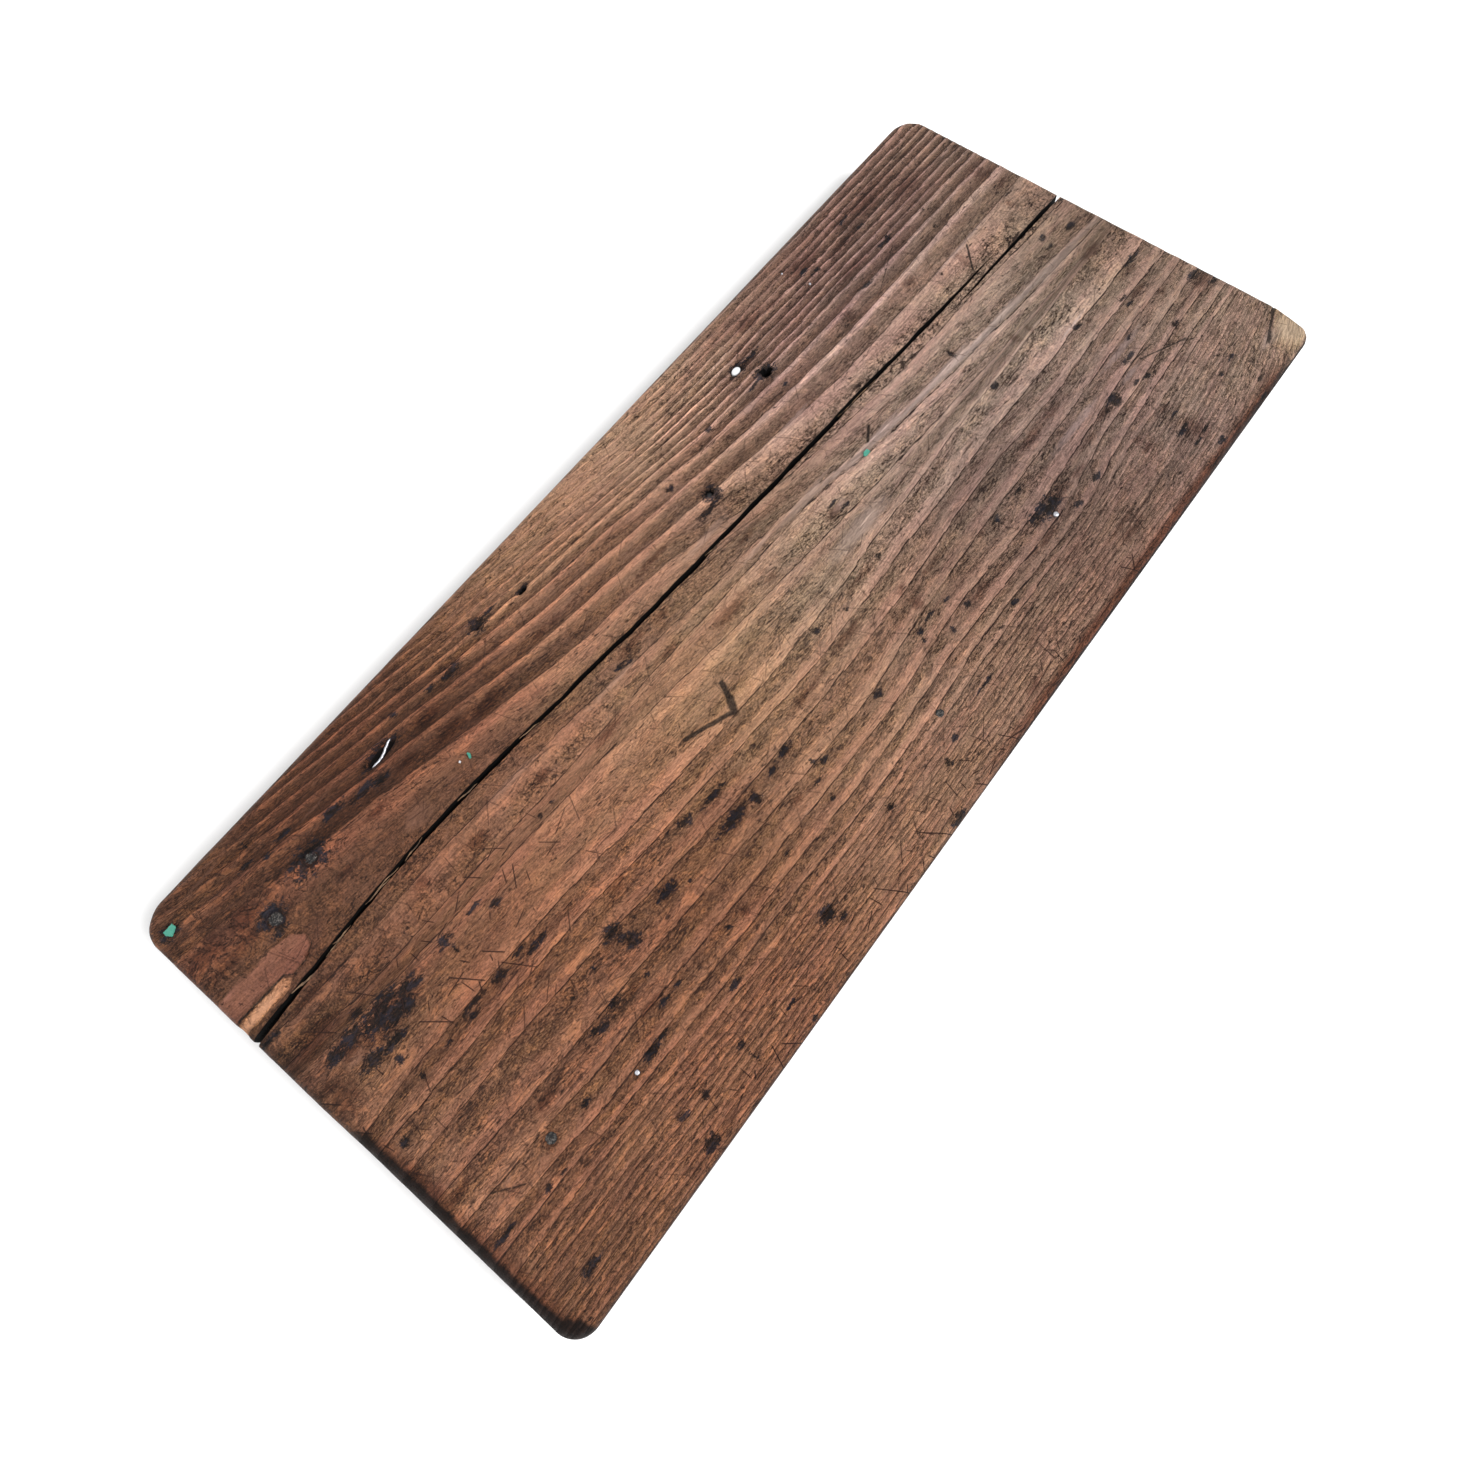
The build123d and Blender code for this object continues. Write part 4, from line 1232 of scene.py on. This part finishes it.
def seamed(n, wood, colour):
    """Thin dark lines at the ring boundaries, and fine checks along the grain."""
    seam_break = n.step(n.drawn(wood.place, 0.05, 0.35, 4.0, 0.6), 0.34, 0.52, 0.22, 1.0)
    seam_width = n.step(n.drawn(wood.place, 0.12, 0.5, 2.0), 0.3, 0.7, 0.12, 0.38)
    near_seam = n.math("MINIMUM", wood.after, wood.before)
    seam = n.minus(1.0, n.math("DIVIDE", near_seam, seam_width), clamp=True)
    seam = n.times(seam, n.times(seam_break, wood.not_middle))
    wood.seam = n.times(n.step(seam, 0.0, 0.6), n.attribute("seams"))
    colour = n.mix(n.times(wood.seam, 0.95), colour, paint_colour(40, 24, 22))
    check_noise = n.drawn(wood.place, 0.0045, 0.42, 2.0, 0.5)
    check_zone = n.step(n.drawn(wood.place, 0.016, 0.25, 2.0), 0.52, 0.58)
    check = n.times(level_line(n, check_noise, 0.013), check_zone)
    return n.mix(n.times(check, 0.7), colour, paint_colour(62, 38, 31))


def pitted(n, wood, colour):
    """Short dark pits, and rows of small ones in the worn soft wood of the far left."""
    pits = n.drawn(wood.place, 0.30, 1.35, 5.0, 0.66, 0.4)
    pit_level = n.scaled(n.drawn(wood.place, 0.05, 0.14, 3.0), -0.38, 0.85)
    pit_level = n.minus(pit_level, n.times(wood.rough, 0.07))
    pit = n.step(n.minus(pits, pit_level), -0.015, 0.03)
    beads = n.drawn(wood.place, 0.85, 1.0, 3.0, 0.6, 0.2)
    bead_level = n.scaled(n.times(wood.trough, n.attribute("beads")), -0.16, 0.66)
    wood.pit = n.math("MAXIMUM", pit, n.step(n.minus(beads, bead_level), -0.02, 0.06, 0.0, 0.7))
    return n.mix(n.times(wood.pit, 0.9), colour, paint_colour(44, 29, 25))


def marked(n, wood, colour):
    """The pale, brown and black marks, with ragged edges drawn out along the grain."""
    pale = n.plus(n.attribute("pale"), n.times(wood.ragged, 0.35))
    pale = n.step(pale, -0.2, 0.7, 0.0, 0.75)
    colour = n.mix(pale, colour, n.tint(wood.wash, 1.55, 1.60, 1.70))
    brown = n.plus(n.attribute("brown"), n.times(wood.blot, 0.35))
    brown = n.step(n.plus(brown, n.times(wood.ragged, 0.95)), -0.1, 0.7, 0.0, 0.8)
    colour = n.mix(brown, colour, n.tint(colour, 0.42, 0.33, 0.31))
    stain = n.plus(n.attribute("black"), n.times(wood.blot, 0.42))
    halo = n.step(n.plus(stain, n.times(wood.ragged, 1.3)), -0.35, 0.5, 0.0, 0.5)
    halo_colour = n.mix(n.step(wood.blot, -0.3, 0.3), paint_colour(56, 42, 36), paint_colour(58, 54, 48))
    colour = n.mix(halo, colour, halo_colour)
    black = n.step(n.plus(stain, n.times(wood.ragged, 1.15)), -0.04, 0.20, 0.0, 0.95)
    black = n.times(black, n.step(wood.specks, 0.36, 0.68, 1.0, 0.7))
    black_colour = n.mix(n.step(wood.blot, -0.1, 0.4), paint_colour(16, 14, 15), paint_colour(30, 32, 44))
    return n.mix(black, colour, black_colour)


def scratched(n, wood, colour):
    """Fine scratches, most of them across the grain, and the few deep gouges."""
    mirrored = n.stretch(wood.flat, -1, 1, 1)
    across_grain = scratch_marks(n, wood.flat, 15, (50, 75), 17, 0.20, 0.55)
    slanting = scratch_marks(n, mirrored, 12, (-20, 80), 15, 0.20, 0.6)
    any_way = scratch_marks(n, n.turn(wood.flat, radians(37)), 9, (20, 160), 8, 0.18, 0.45)
    scratches = n.math("MAXIMUM", n.math("MAXIMUM", across_grain, slanting), any_way)
    wood.scratches = n.times(scratches, n.attribute("scuffs"))
    colour = n.mix(n.times(wood.scratches, 0.95), colour, paint_colour(56, 34, 29))
    gouge = n.plus(n.attribute("gouge"), n.times(wood.ragged, 0.38))
    gouge = n.step(gouge, 0.05, 0.60, 0.0, 0.9)
    dirt = n.mix(n.step(wood.specks, 0.47, 0.62), paint_colour(22, 17, 17), paint_colour(80, 70, 62))
    return n.mix(gouge, colour, dirt)


def darkened(n, wood, colour):
    """Dirt and painted shade on the worn edges, and painted shade in the cracks and hollows."""
    dirt = n.plus(n.attribute("edge_grime_and_shade"), n.times(wood.ragged, 0.12))
    # the dark edge band is dirt together with painted shade on the worn rounding
    colour = n.mix(n.step(dirt, 0.1, 0.9, 0.0, 0.95), colour, paint_colour(27, 19, 17))
    # painted shade: cracks and hollows are painted near-black, darker the deeper they go
    wood.dark = n.step(n.attribute("drop"), 0.12, 0.75)
    return n.mix(wood.dark, colour, paint_colour(7, 5, 5))


def timber_relief(n, wood):
    """The small ups and downs of the surface, for the bump."""
    relief = n.times(wood.torn, n.scaled(wood.rough, 1.7, 0.2))
    relief = n.plus(relief, n.times(wood.specks, n.scaled(wood.rough, 0.3, 0.05)))
    relief = n.plus(relief, n.times(wood.fibre, 0.5))
    relief = n.plus(relief, n.times(wood.fine_fibre, 0.15))
    relief = n.plus(relief, n.times(wood.fringe, 0.3))
    flake_step = n.times(n.step(wood.flakes, 0.485, 0.515), wood.mottled)
    relief = n.plus(relief, n.times(flake_step, 0.55))
    crumble_step = n.times(n.step(wood.crumble, 0.43, 0.49), n.times(wood.crumble_zone, 0.45))
    relief = n.plus(relief, crumble_step)
    cut = n.plus(n.times(wood.pit, 0.6), n.times(wood.seam, 0.8))
    cut = n.plus(cut, n.plus(n.times(wood.crevice, 0.5), n.times(wood.scratches, 0.4)))
    return n.minus(relief, cut)


def timber_material():
    """Worn softwood: smooth latewood ridges between rough dirty earlywood, with painted shade and painted
    highlights on its torn fibre.
    """
    n = Nodes("weathered_timber")
    wood = read_rings(n)
    add_textures(n, wood)
    colour = plain_wood(n, wood)
    for layer in (shaded, torn_edges, crumbled, flaked, seamed, pitted, marked, scratched, darkened):
        colour = layer(n, wood, colour)
    dull = n.plus(n.scaled(wood.rough, 0.22, 0.48), n.step(wood.torn, 0.3, 0.7, -0.06, 0.08))
    n.surface({
        "Base Color": colour,
        "Specular IOR Level": 0.16,
        "Roughness": n.math("MAXIMUM", dull, n.times(wood.dark, 0.95)),
        "Normal": n.bump(timber_relief(n, wood), 0.88 * MM),
    })
    return n.material


# ---- the stage -----------------------------------------------------------------------------
# The camera looks down from above the near right quarter, as the photograph does.
CAMERA_SPOT = (115.3, 11.5, THICKNESS + 349.8)
CAMERA_TURN = (18.516, 2.069, -51.948)
CAMERA_LENS = 23.01
SENSOR_WIDTH = 36.0
NEAREST_SEEN = 0.01         # metres, as are the places and sizes below
LIGHTS = {                  # where each light stands, its size and its power
    "key": ((0.6, -1.65, 2.2), 0.7, 85),
    "fill": ((-1.6, 1.2, 2.2), 2.4, 17),
}
ROOM_BRIGHTNESS = 0.76
FLOOR_REACH = 12.0
FLOOR_GAP = 0.0002


def add_camera():
    camera = bpy.data.cameras.new("camera")
    camera.sensor_width = SENSOR_WIDTH
    camera.lens = CAMERA_LENS
    camera.clip_start = NEAREST_SEEN
    piece = bpy.data.objects.new("camera", camera)
    piece.location = board_low + Vector(CAMERA_SPOT) * MM
    piece.rotation_euler = [radians(angle) for angle in CAMERA_TURN]
    bpy.context.scene.collection.objects.link(piece)
    bpy.context.scene.camera = piece


def add_light(name, spot, size, power):
    """A soft square light that faces the middle of the board."""
    lamp = bpy.data.lights.new(name, "AREA")
    lamp.size = size
    lamp.energy = power
    piece = bpy.data.objects.new(name, lamp)
    piece.location = spot
    piece.rotation_euler = (-Vector(spot)).to_track_quat("-Z", "Y").to_euler()
    bpy.context.scene.collection.objects.link(piece)


def floor_material():
    """A plain pale floor, very slightly speckled."""
    n = Nodes("pale_floor")
    x, y, _ = n.millimetres()
    speckle = n.noise(n.vector(x, y, 0.0), 2.0)
    colour = n.mix(speckle, (0.93, 0.93, 0.93, 1.0), (0.95, 0.95, 0.95, 1.0))
    n.surface({"Base Color": colour, "Roughness": 0.9, "Specular IOR Level": 0.1})
    return n.material


def add_floor():
    floor = bpy.data.meshes.new("floor")
    reach = FLOOR_REACH
    corners = [(-reach, -reach, 0.0), (reach, -reach, 0.0), (reach, reach, 0.0), (-reach, reach, 0.0)]
    floor.from_pydata(corners, [], [(0, 1, 2, 3)])
    floor.materials.append(floor_material())
    piece = bpy.data.objects.new("floor", floor)
    piece.location.z = board_low.z - FLOOR_GAP
    bpy.context.scene.collection.objects.link(piece)


def add_room():
    """Soft white light from all round, and the two lights."""
    world = bpy.data.worlds.new("soft_white_room")
    world.use_nodes = True
    background = world.node_tree.nodes["Background"]
    background.inputs["Color"].default_value = (1.0, 1.0, 1.0, 1.0)
    background.inputs["Strength"].default_value = ROOM_BRIGHTNESS
    bpy.context.scene.world = world
    bpy.context.scene.view_settings.view_transform = "Standard"
    for name, (spot, size, power) in LIGHTS.items():
        add_light(name, spot, size, power)


# ---- nails, pins, filler and paint ---------------------------------------------------------
# Bits of straight metal: (along, across, diameter, length, depth of the top below the face).
BRIGHT_METAL = {
    "bright_nail_end": (360.0, 42.5, 2.6, 24.0, 0.5),
    "hole_nail_stub": (280.0, 167.0, 3.0, 20.0, 2.4),
    "glint_nail_stub": (79.0, 40.3, 2.0, 18.0, 0.3),
    "pin_end_outer": (394.0, 213.6, 1.0, 12.0, 0.2),
    "pin_end_inner": (397.0, 199.4, 1.2, 12.0, 0.2),
}
# Nails with heads: (along, across, head diameter, shank diameter, length, depth of the head's top).
RUSTED_METAL = {
    "blackened_nail_head": (60.5, 189.5, 6.0, 2.6, 30.0, 0.7),
    "corroded_nail_head": (36.0, 183.5, 6.4, 2.8, 32.0, 0.8),
    "round_head_near": (44.0, 50.2, 4.8, 2.2, 28.0, 0.4),
    "round_head_edge": (256.0, 31.2, 4.0, 2.0, 25.0, 0.4),
}
HEAD_THICKNESS = 1.2
HEAD_SQUASH = 0.92
# Shares of a head's or an end's radius, each with its depth below the top.
HEAD_CROWN = ((1.0, 0.45), (0.95, 0.24), (0.86, 0.14), (0.7, 0.10), (0.55, 0.04), (0.4, 0.08), (0.2, 0.0))
END_CROWN = ((1.0, 1.2), (0.98, 0.5), (0.93, 0.2), (0.78, 0.07), (0.5, 0.02), (0.2, 0.0))
# The clenched nail: a wire from a head on the underside, bent over flat along its hollow.
WIRE = 1.2
WIRE_WEAR = 0.86
HOLLOW_FLOOR = THICKNESS - 1.9
WIRE_HEIGHT = HOLLOW_FLOOR + 0.7
WIRE_BEND = 1.6
WIRE_START = 0.6
WIRE_POINT = (0.96, 0.86, 0.7, 0.48, 0.2)
WIRE_HEAD = 3.2
WIRE_HEAD_PROFILE = ((0.75, 0.12), (0.97, 0.3), (1.0, 0.6), (0.9, 0.9), (0.5, 1.0))
WIRE_ROUTE = [(100.6, 196.3), (103.4, 196.3), (106.5, 196.6), (109.4, 197.7), (112.0, 198.9), (114.6, 199.6)]
FILLER_SPOT = (337.4, 197.2)
FILLER_SIZE = (5.2, 3.4)
FILLER_DEPTH = (0.5, 8.0)
FILLER_CROWN = ((0.96, 2.0), (1.0, 0.7), (0.98, 0.42), (0.9, 0.2), (0.74, 0.08), (0.5, 0.02), (0.22, 0.0))
PAINT_FLECKS = {
    "teal_paint_corner": [(5.9, 213.6), (10.6, 213.5), (10.7, 211.2), (7.4, 209.4), (5.9, 211.6)],
    "teal_paint_middle": [(334.4, 124.2), (336.3, 125.6), (338.7, 125.2), (338.5, 123.2), (335.2, 122.9)],
    "teal_paint_small": [(128.4, 170.3), (129.2, 170.2), (129.5, 168.8), (128.3, 167.3), (127.5, 167.6)],
    "white_paint_speck": [(123.7, 170.3), (124.7, 170.4), (124.8, 169.5), (123.9, 169.3)],
}
# A fleck's rings from its base over its edge to its middle: (share of its size, depth).
FLECK_RINGS = ((0.9, 0.58), (1.0, 0.48), (1.0, 0.22), (0.94, 0.12), (0.8, 0.22), (0.55, 0.28), (0.28, 0.24))
FLECK_SIDE_STEPS = 6
FLECK_RIPPLE = 0.05
# How many sides each turned piece has, and how far it is worn out of true.
WIRE_HEAD_TURNING = (24, 0.03)
NAIL_END_TURNING = (20, 0.06)
NAIL_HEAD_TURNING = (48, 0.42)
FILLER_TURNING = (36, 0.09)
# Splinters and crumbs caught in the crack: from, to, width, depth of each end below the face.
SPLINTERS = [
    ((21.0, 158.6), (35.5, 156.6), 0.9, 0.3, 1.0), ((38.0, 158.0), (52.0, 159.4), 0.7, 0.9, 1.3),
    ((43.0, 159.2), (48.0, 158.6), 0.5, 0.7, 0.9), ((61.0, 160.3), (74.0, 160.0), 0.6, 1.0, 1.2),
    ((68.0, 160.8), (79.0, 160.3), 0.5, 0.8, 1.3), ((82.0, 160.0), (93.0, 160.9), 0.5, 1.2, 0.8),
    ((112.0, 159.9), (122.0, 158.8), 0.6, 0.6, 1.2), ((146.0, 157.8), (156.0, 156.4), 0.5, 0.8, 1.3),
    ((255.0, 149.5), (268.0, 148.4), 0.5, 0.9, 1.2), ((345.0, 145.6), (372.0, 143.9), 0.4, 1.0, 1.4),
]
SPLINTER_STEPS = 12
SPLINTER_SIDES = 7


def finish_piece(name, bm, material, node=None):
    """Turns a closed mesh drawn in plan millimetres into a piece of the board."""
    bmesh.ops.recalc_face_normals(bm, faces=bm.faces)
    mesh = bpy.data.meshes.new(name)
    bm.to_mesh(mesh)
    bm.free()
    add_piece(name + "_look", mesh, material, node)


def skin_rings(bm, rings):
    """Joins closed rings of points into a closed skin."""
    loops = [[bm.verts.new(spot) for spot in ring] for ring in rings]
    count = len(loops[0])
    for lower, upper in zip(loops, loops[1:]):
        for index in range(count):
            after = (index + 1) % count
            bm.faces.new((lower[index], lower[after], upper[after], upper[index]))
    bm.faces.new(reversed(loops[0]))
    bm.faces.new(loops[-1])


def turned_rings(along, across, profile, sides, wobble, seed, squash=1.0):
    """Rings round an upright axis, from (radius, height) pairs, worn out of true by wobble."""
    rings = []
    angles = np.arange(sides) * 2 * pi / sides
    east = np.cos(angles)
    north = np.sin(angles)
    for level, (radius, z) in enumerate(profile):
        ragged = 1 - wobble * np.abs(layers(3 * east + seed, 3 * north + level * 0.6, seed, 2))
        dent = 0.6 * wobble * noise(2 * east + level, 2 * north + seed, seed + 5)
        x = along + radius * ragged * east
        y = across + radius * ragged * squash * north
        rings.append(list(zip(x, y, z - np.abs(dent) * min(radius, 1.0))))
    return rings


def crowned(radius, top, crown):
    """(radius, height) pairs from shares of a radius and depths below a top."""
    return [(radius * share, top - depth) for share, depth in crown]


def bent_tube(bm, route, radii, sides=12):
    """A tube along a route of points."""
    points = [Vector(point) for point in route]
    side = Vector((0, 1, 0))
    rings = []
    for index, point in enumerate(points):
        ahead = (points[min(index + 1, len(points) - 1)] - points[max(index - 1, 0)]).normalized()
        side = (side - ahead * side.dot(ahead)).normalized()
        up = ahead.cross(side)
        ring = []
        for step in range(sides):
            angle = 2 * pi * step / sides
            scuff = 1 + 0.07 * sin(3.1 * index + 2.3 * step) * cos(1.7 * step)
            ring.append(point + (side * cos(angle) + up * sin(angle)) * radii[index] * scuff)
        rings.append(ring)
    skin_rings(bm, rings)


def clenched_nail_route():
    """Up through the board, round the bend and along the hollow to the point."""
    start_x, start_y = WIRE_ROUTE[0]
    straight = np.linspace(WIRE_START, WIRE_HEIGHT - WIRE_BEND, 14)
    route = [(start_x, start_y, z) for z in straight]
    for step in range(1, 6):
        angle = pi / 2 * step / 5
        x = start_x + WIRE_BEND * (1 - cos(angle))
        route.append((x, start_y, WIRE_HEIGHT - WIRE_BEND * (1 - sin(angle))))
    spots = np.array(WIRE_ROUTE[1:])
    for x in np.linspace(start_x + WIRE_BEND + 0.6, WIRE_ROUTE[-1][0], 22):
        y = float(spread(spots[:, 0], spots[:, 1], np.array([x]))[0])
        sway = 0.10 * sin(x * 1.9) + 0.05 * sin(x * 4.3)
        route.append((x, y + 0.08 * sin(x * 2.7), WIRE_HEIGHT + sway))
    return route


def build_clenched_nail(material):
    bm = bmesh.new()
    route = clenched_nail_route()
    radii = [WIRE / 2 * WIRE_WEAR] * len(route)
    for index, share in zip(range(-len(WIRE_POINT), 0), WIRE_POINT):
        radii[index] *= share
    bent_tube(bm, route, radii)
    x, y = WIRE_ROUTE[0]
    profile = [(WIRE_HEAD / 2 * share, z) for share, z in WIRE_HEAD_PROFILE]
    skin_rings(bm, turned_rings(x, y, profile, *WIRE_HEAD_TURNING, 5))
    finish_piece("clenched_nail", bm, material, "clenched_nail")


def build_nail_end(name, spec, material, seed):
    """The broken or cut end of a nail without a head."""
    along, across, diameter, length, depth = spec
    top = THICKNESS - depth
    radius = diameter / 2
    profile = [(radius, top - length), (radius, top - length * 0.5)] + crowned(radius, top, END_CROWN)
    bm = bmesh.new()
    skin_rings(bm, turned_rings(along, across, profile, *NAIL_END_TURNING, seed))
    finish_piece(name, bm, material, name)


def build_nail_head(name, spec, material, seed):
    """A rusted nail with its flat head sunk in the face."""
    along, across, diameter, shank, length, depth = spec
    top = THICKNESS - depth
    head = diameter / 2
    neck = shank / 2
    under = top - HEAD_THICKNESS
    profile = [(neck, top - length), (neck, under - 0.6), (neck * 1.1, under - 0.1)]
    profile += [(head * 0.9, under), (head, under + 0.3)] + crowned(head, top, HEAD_CROWN)
    bm = bmesh.new()
    skin_rings(bm, turned_rings(along, across, profile, *NAIL_HEAD_TURNING, seed, HEAD_SQUASH))
    finish_piece(name, bm, material, name)


def build_filler(material):
    """A plug of white filler, a little crowned and cracked round its edge."""
    along, across = FILLER_SPOT
    length, width = FILLER_SIZE
    top = THICKNESS - FILLER_DEPTH[0]
    radius = length / 2
    profile = [(radius * 0.9, top - FILLER_DEPTH[1])] + crowned(radius, top, FILLER_CROWN)
    bm = bmesh.new()
    skin_rings(bm, turned_rings(along, across, profile, *FILLER_TURNING, 17, width / length))
    finish_piece("white_filler", bm, material, "white_filler")


def fleck_outline(corners, middle):
    """The corners of a fleck with ragged sides between them."""
    outline = []
    for index, corner in enumerate(corners):
        after = corners[(index + 1) % len(corners)]
        for step in range(FLECK_SIDE_STEPS):
            spot = Vector(corner).lerp(Vector(after), step / FLECK_SIDE_STEPS)
            ragged = 0.10 + 0.10 * sin(4.7 * index + 2.9 * step) + 0.07 * sin(7.1 * step + index)
            outline.append(spot + (middle - spot).normalized() * max(ragged, 0.0))
    return outline


def build_fleck(name, corners, material):
    """A flake of old paint with a ragged, slightly lifted edge."""
    middle = Vector((sum(c[0] for c in corners), sum(c[1] for c in corners))) / len(corners)
    outline = fleck_outline(corners, middle)
    bm = bmesh.new()
    rings = []
    for share, depth in FLECK_RINGS:
        ring = []
        for index, spot in enumerate(outline):
            place = middle.lerp(spot, share)
            ripple = FLECK_RIPPLE * sin(index * 1.3 + share * 9) if share < 1 else 0.0
            ring.append((place.x, place.y, THICKNESS - depth + ripple))
        rings.append(ring)
    skin_rings(bm, rings)
    finish_piece(name, bm, material, name)


def build_splinter(number, splinter, material):
    """A torn fibre lying in the mouth of the crack."""
    start, end, width, start_depth, end_depth = splinter
    route = []
    radii = []
    for step in range(SPLINTER_STEPS + 1):
        share = step / SPLINTER_STEPS
        x = start[0] + (end[0] - start[0]) * share
        y = start[1] + (end[1] - start[1]) * share + 0.16 * sin(share * 9 + number)
        depth = start_depth + (end_depth - start_depth) * share + 0.15 * sin(share * 6 + number * 2)
        route.append((x, y, TOP_LEVEL - depth - width * 0.5))
        thin = min(1.0, 0.25 + 2.4 * min(share, 1 - share))
        radii.append(width / 2 * thin * (1 + 0.25 * sin(step * 2.1 + number)))
    bm = bmesh.new()
    bent_tube(bm, route, radii, SPLINTER_SIDES)
    finish_piece("splinter_" + str(number + 1), bm, material)


def steel_material():
    """Bright steel, scuffed by boots, with dirt in the scuffs, and painted shade where it goes down the
    hole.
    """
    n = Nodes("bright_steel")
    x, y, z = n.millimetres()
    place = n.vector(x, y, z)
    brushed = n.drawn(place, 1.2, 5.0, 4.0, 0.7)
    dirt = n.drawn(place, 1.4, 1.4, 4.0, 0.7)
    metal = n.mix(brushed, paint_colour(196, 196, 204), paint_colour(238, 238, 244))
    metal = n.mix(n.step(dirt, 0.56, 0.72, 0.0, 0.7), metal, paint_colour(92, 78, 72))
    # painted shade: the metal darkens below the hollow's floor, down the hole
    hole_shade = n.step(z, HOLLOW_FLOOR - 0.4, HOLLOW_FLOOR, 0.93, 0.0)
    n.surface({
        "Base Color": n.mix(hole_shade, metal, paint_colour(30, 25, 24)),
        "Metallic": 0.85,
        "Roughness": n.step(brushed, 0.3, 0.7, 0.28, 0.5),
        "Normal": n.bump(brushed, 0.08 * MM, 0.8),
    })
    return n.material


def rust_material():
    """Black and brown rusted iron, pitted and crusted, with painted glints."""
    n = Nodes("rusted_iron")
    x, y, z = n.millimetres()
    place = n.vector(x, y, z)
    crust = n.drawn(place, 0.9, 0.9, 6.0, 0.72, 0.4)
    grit = n.drawn(place, 3.2, 3.2, 4.0, 0.7)
    iron = n.mix(n.step(crust, 0.46, 0.60), paint_colour(13, 12, 14), paint_colour(54, 45, 40))
    # painted highlight: pale grey glints on the crust
    glint = n.times(n.step(crust, 0.44, 0.56), n.step(grit, 0.50, 0.60, 0.0, 0.9))
    iron = n.mix(glint, iron, paint_colour(158, 152, 146))
    n.surface({
        "Base Color": n.mix(n.step(grit, 0.45, 0.28, 0.0, 0.8), iron, paint_colour(20, 17, 17)),
        "Metallic": 0.15,
        "Roughness": n.step(crust, 0.3, 0.7, 0.55, 0.85),
        "Normal": n.bump(n.plus(crust, n.times(grit, 0.5)), 0.5 * MM),
    })
    return n.material


def paint_material(name, fresh, dirty, dirt_share):
    """Old paint or filler, crazed, with dirt worked into it."""
    n = Nodes(name)
    x, y, z = n.millimetres()
    place = n.vector(x, y, z)
    cloud = n.drawn(place, 0.9, 1.1, 4.0, 0.65)
    grit = n.drawn(place, 3.0, 3.6, 4.0, 0.7)
    colour = n.mix(n.step(cloud, 0.3, 0.7, 0.0, 0.5), fresh, n.tint(fresh, 0.72, 0.72, 0.72))
    n.surface({
        "Base Color": n.mix(n.step(grit, 0.62 - dirt_share, 0.70, 0.0, 0.8), colour, dirty),
        "Roughness": n.step(grit, 0.3, 0.7, 0.45, 0.75),
        "Normal": n.bump(n.plus(cloud, n.times(grit, 0.6)), 0.15 * MM, 0.9),
    })
    return n.material


def splinter_material():
    """Broken wood fibre, paler than the worn face."""
    n = Nodes("splinter_wood")
    x, y, z = n.millimetres()
    place = n.vector(x, y, z)
    fibre = n.drawn(place, 0.3, 4.0, 4.0, 0.65)
    cloud = n.drawn(place, 0.25, 0.8, 3.0, 0.6)
    colour = n.mix(n.step(fibre, 0.3, 0.7), paint_colour(84, 58, 42), paint_colour(176, 140, 106))
    n.surface({
        "Base Color": n.mix(n.step(cloud, 0.45, 0.65, 0.0, 0.85), colour, paint_colour(52, 38, 30)),
        "Roughness": 0.8,
        "Normal": n.bump(fibre, 0.2 * MM),
    })
    return n.material


def build_small_pieces():
    steel = steel_material()
    rust = rust_material()
    splinter_wood = splinter_material()
    dirt = paint_colour(58, 48, 42)
    teal = paint_material("teal_paint", paint_colour(72, 160, 138), dirt, 0.08)
    white = paint_material("white_filler", paint_colour(244, 244, 246), paint_colour(170, 160, 152), 0.0)
    build_clenched_nail(steel)
    for number, (name, spec) in enumerate(BRIGHT_METAL.items()):
        build_nail_end(name, spec, steel, 20 + number)
    for number, (name, spec) in enumerate(RUSTED_METAL.items()):
        build_nail_head(name, spec, rust, 40 + number)
    build_filler(white)
    for name, corners in PAINT_FLECKS.items():
        is_white = name.startswith("white")
        build_fleck(name, corners, white if is_white else teal)
    for number, splinter in enumerate(SPLINTERS):
        build_splinter(number, splinter, splinter_wood)


build_board()
build_small_pieces()
add_floor()
add_room()
add_camera()
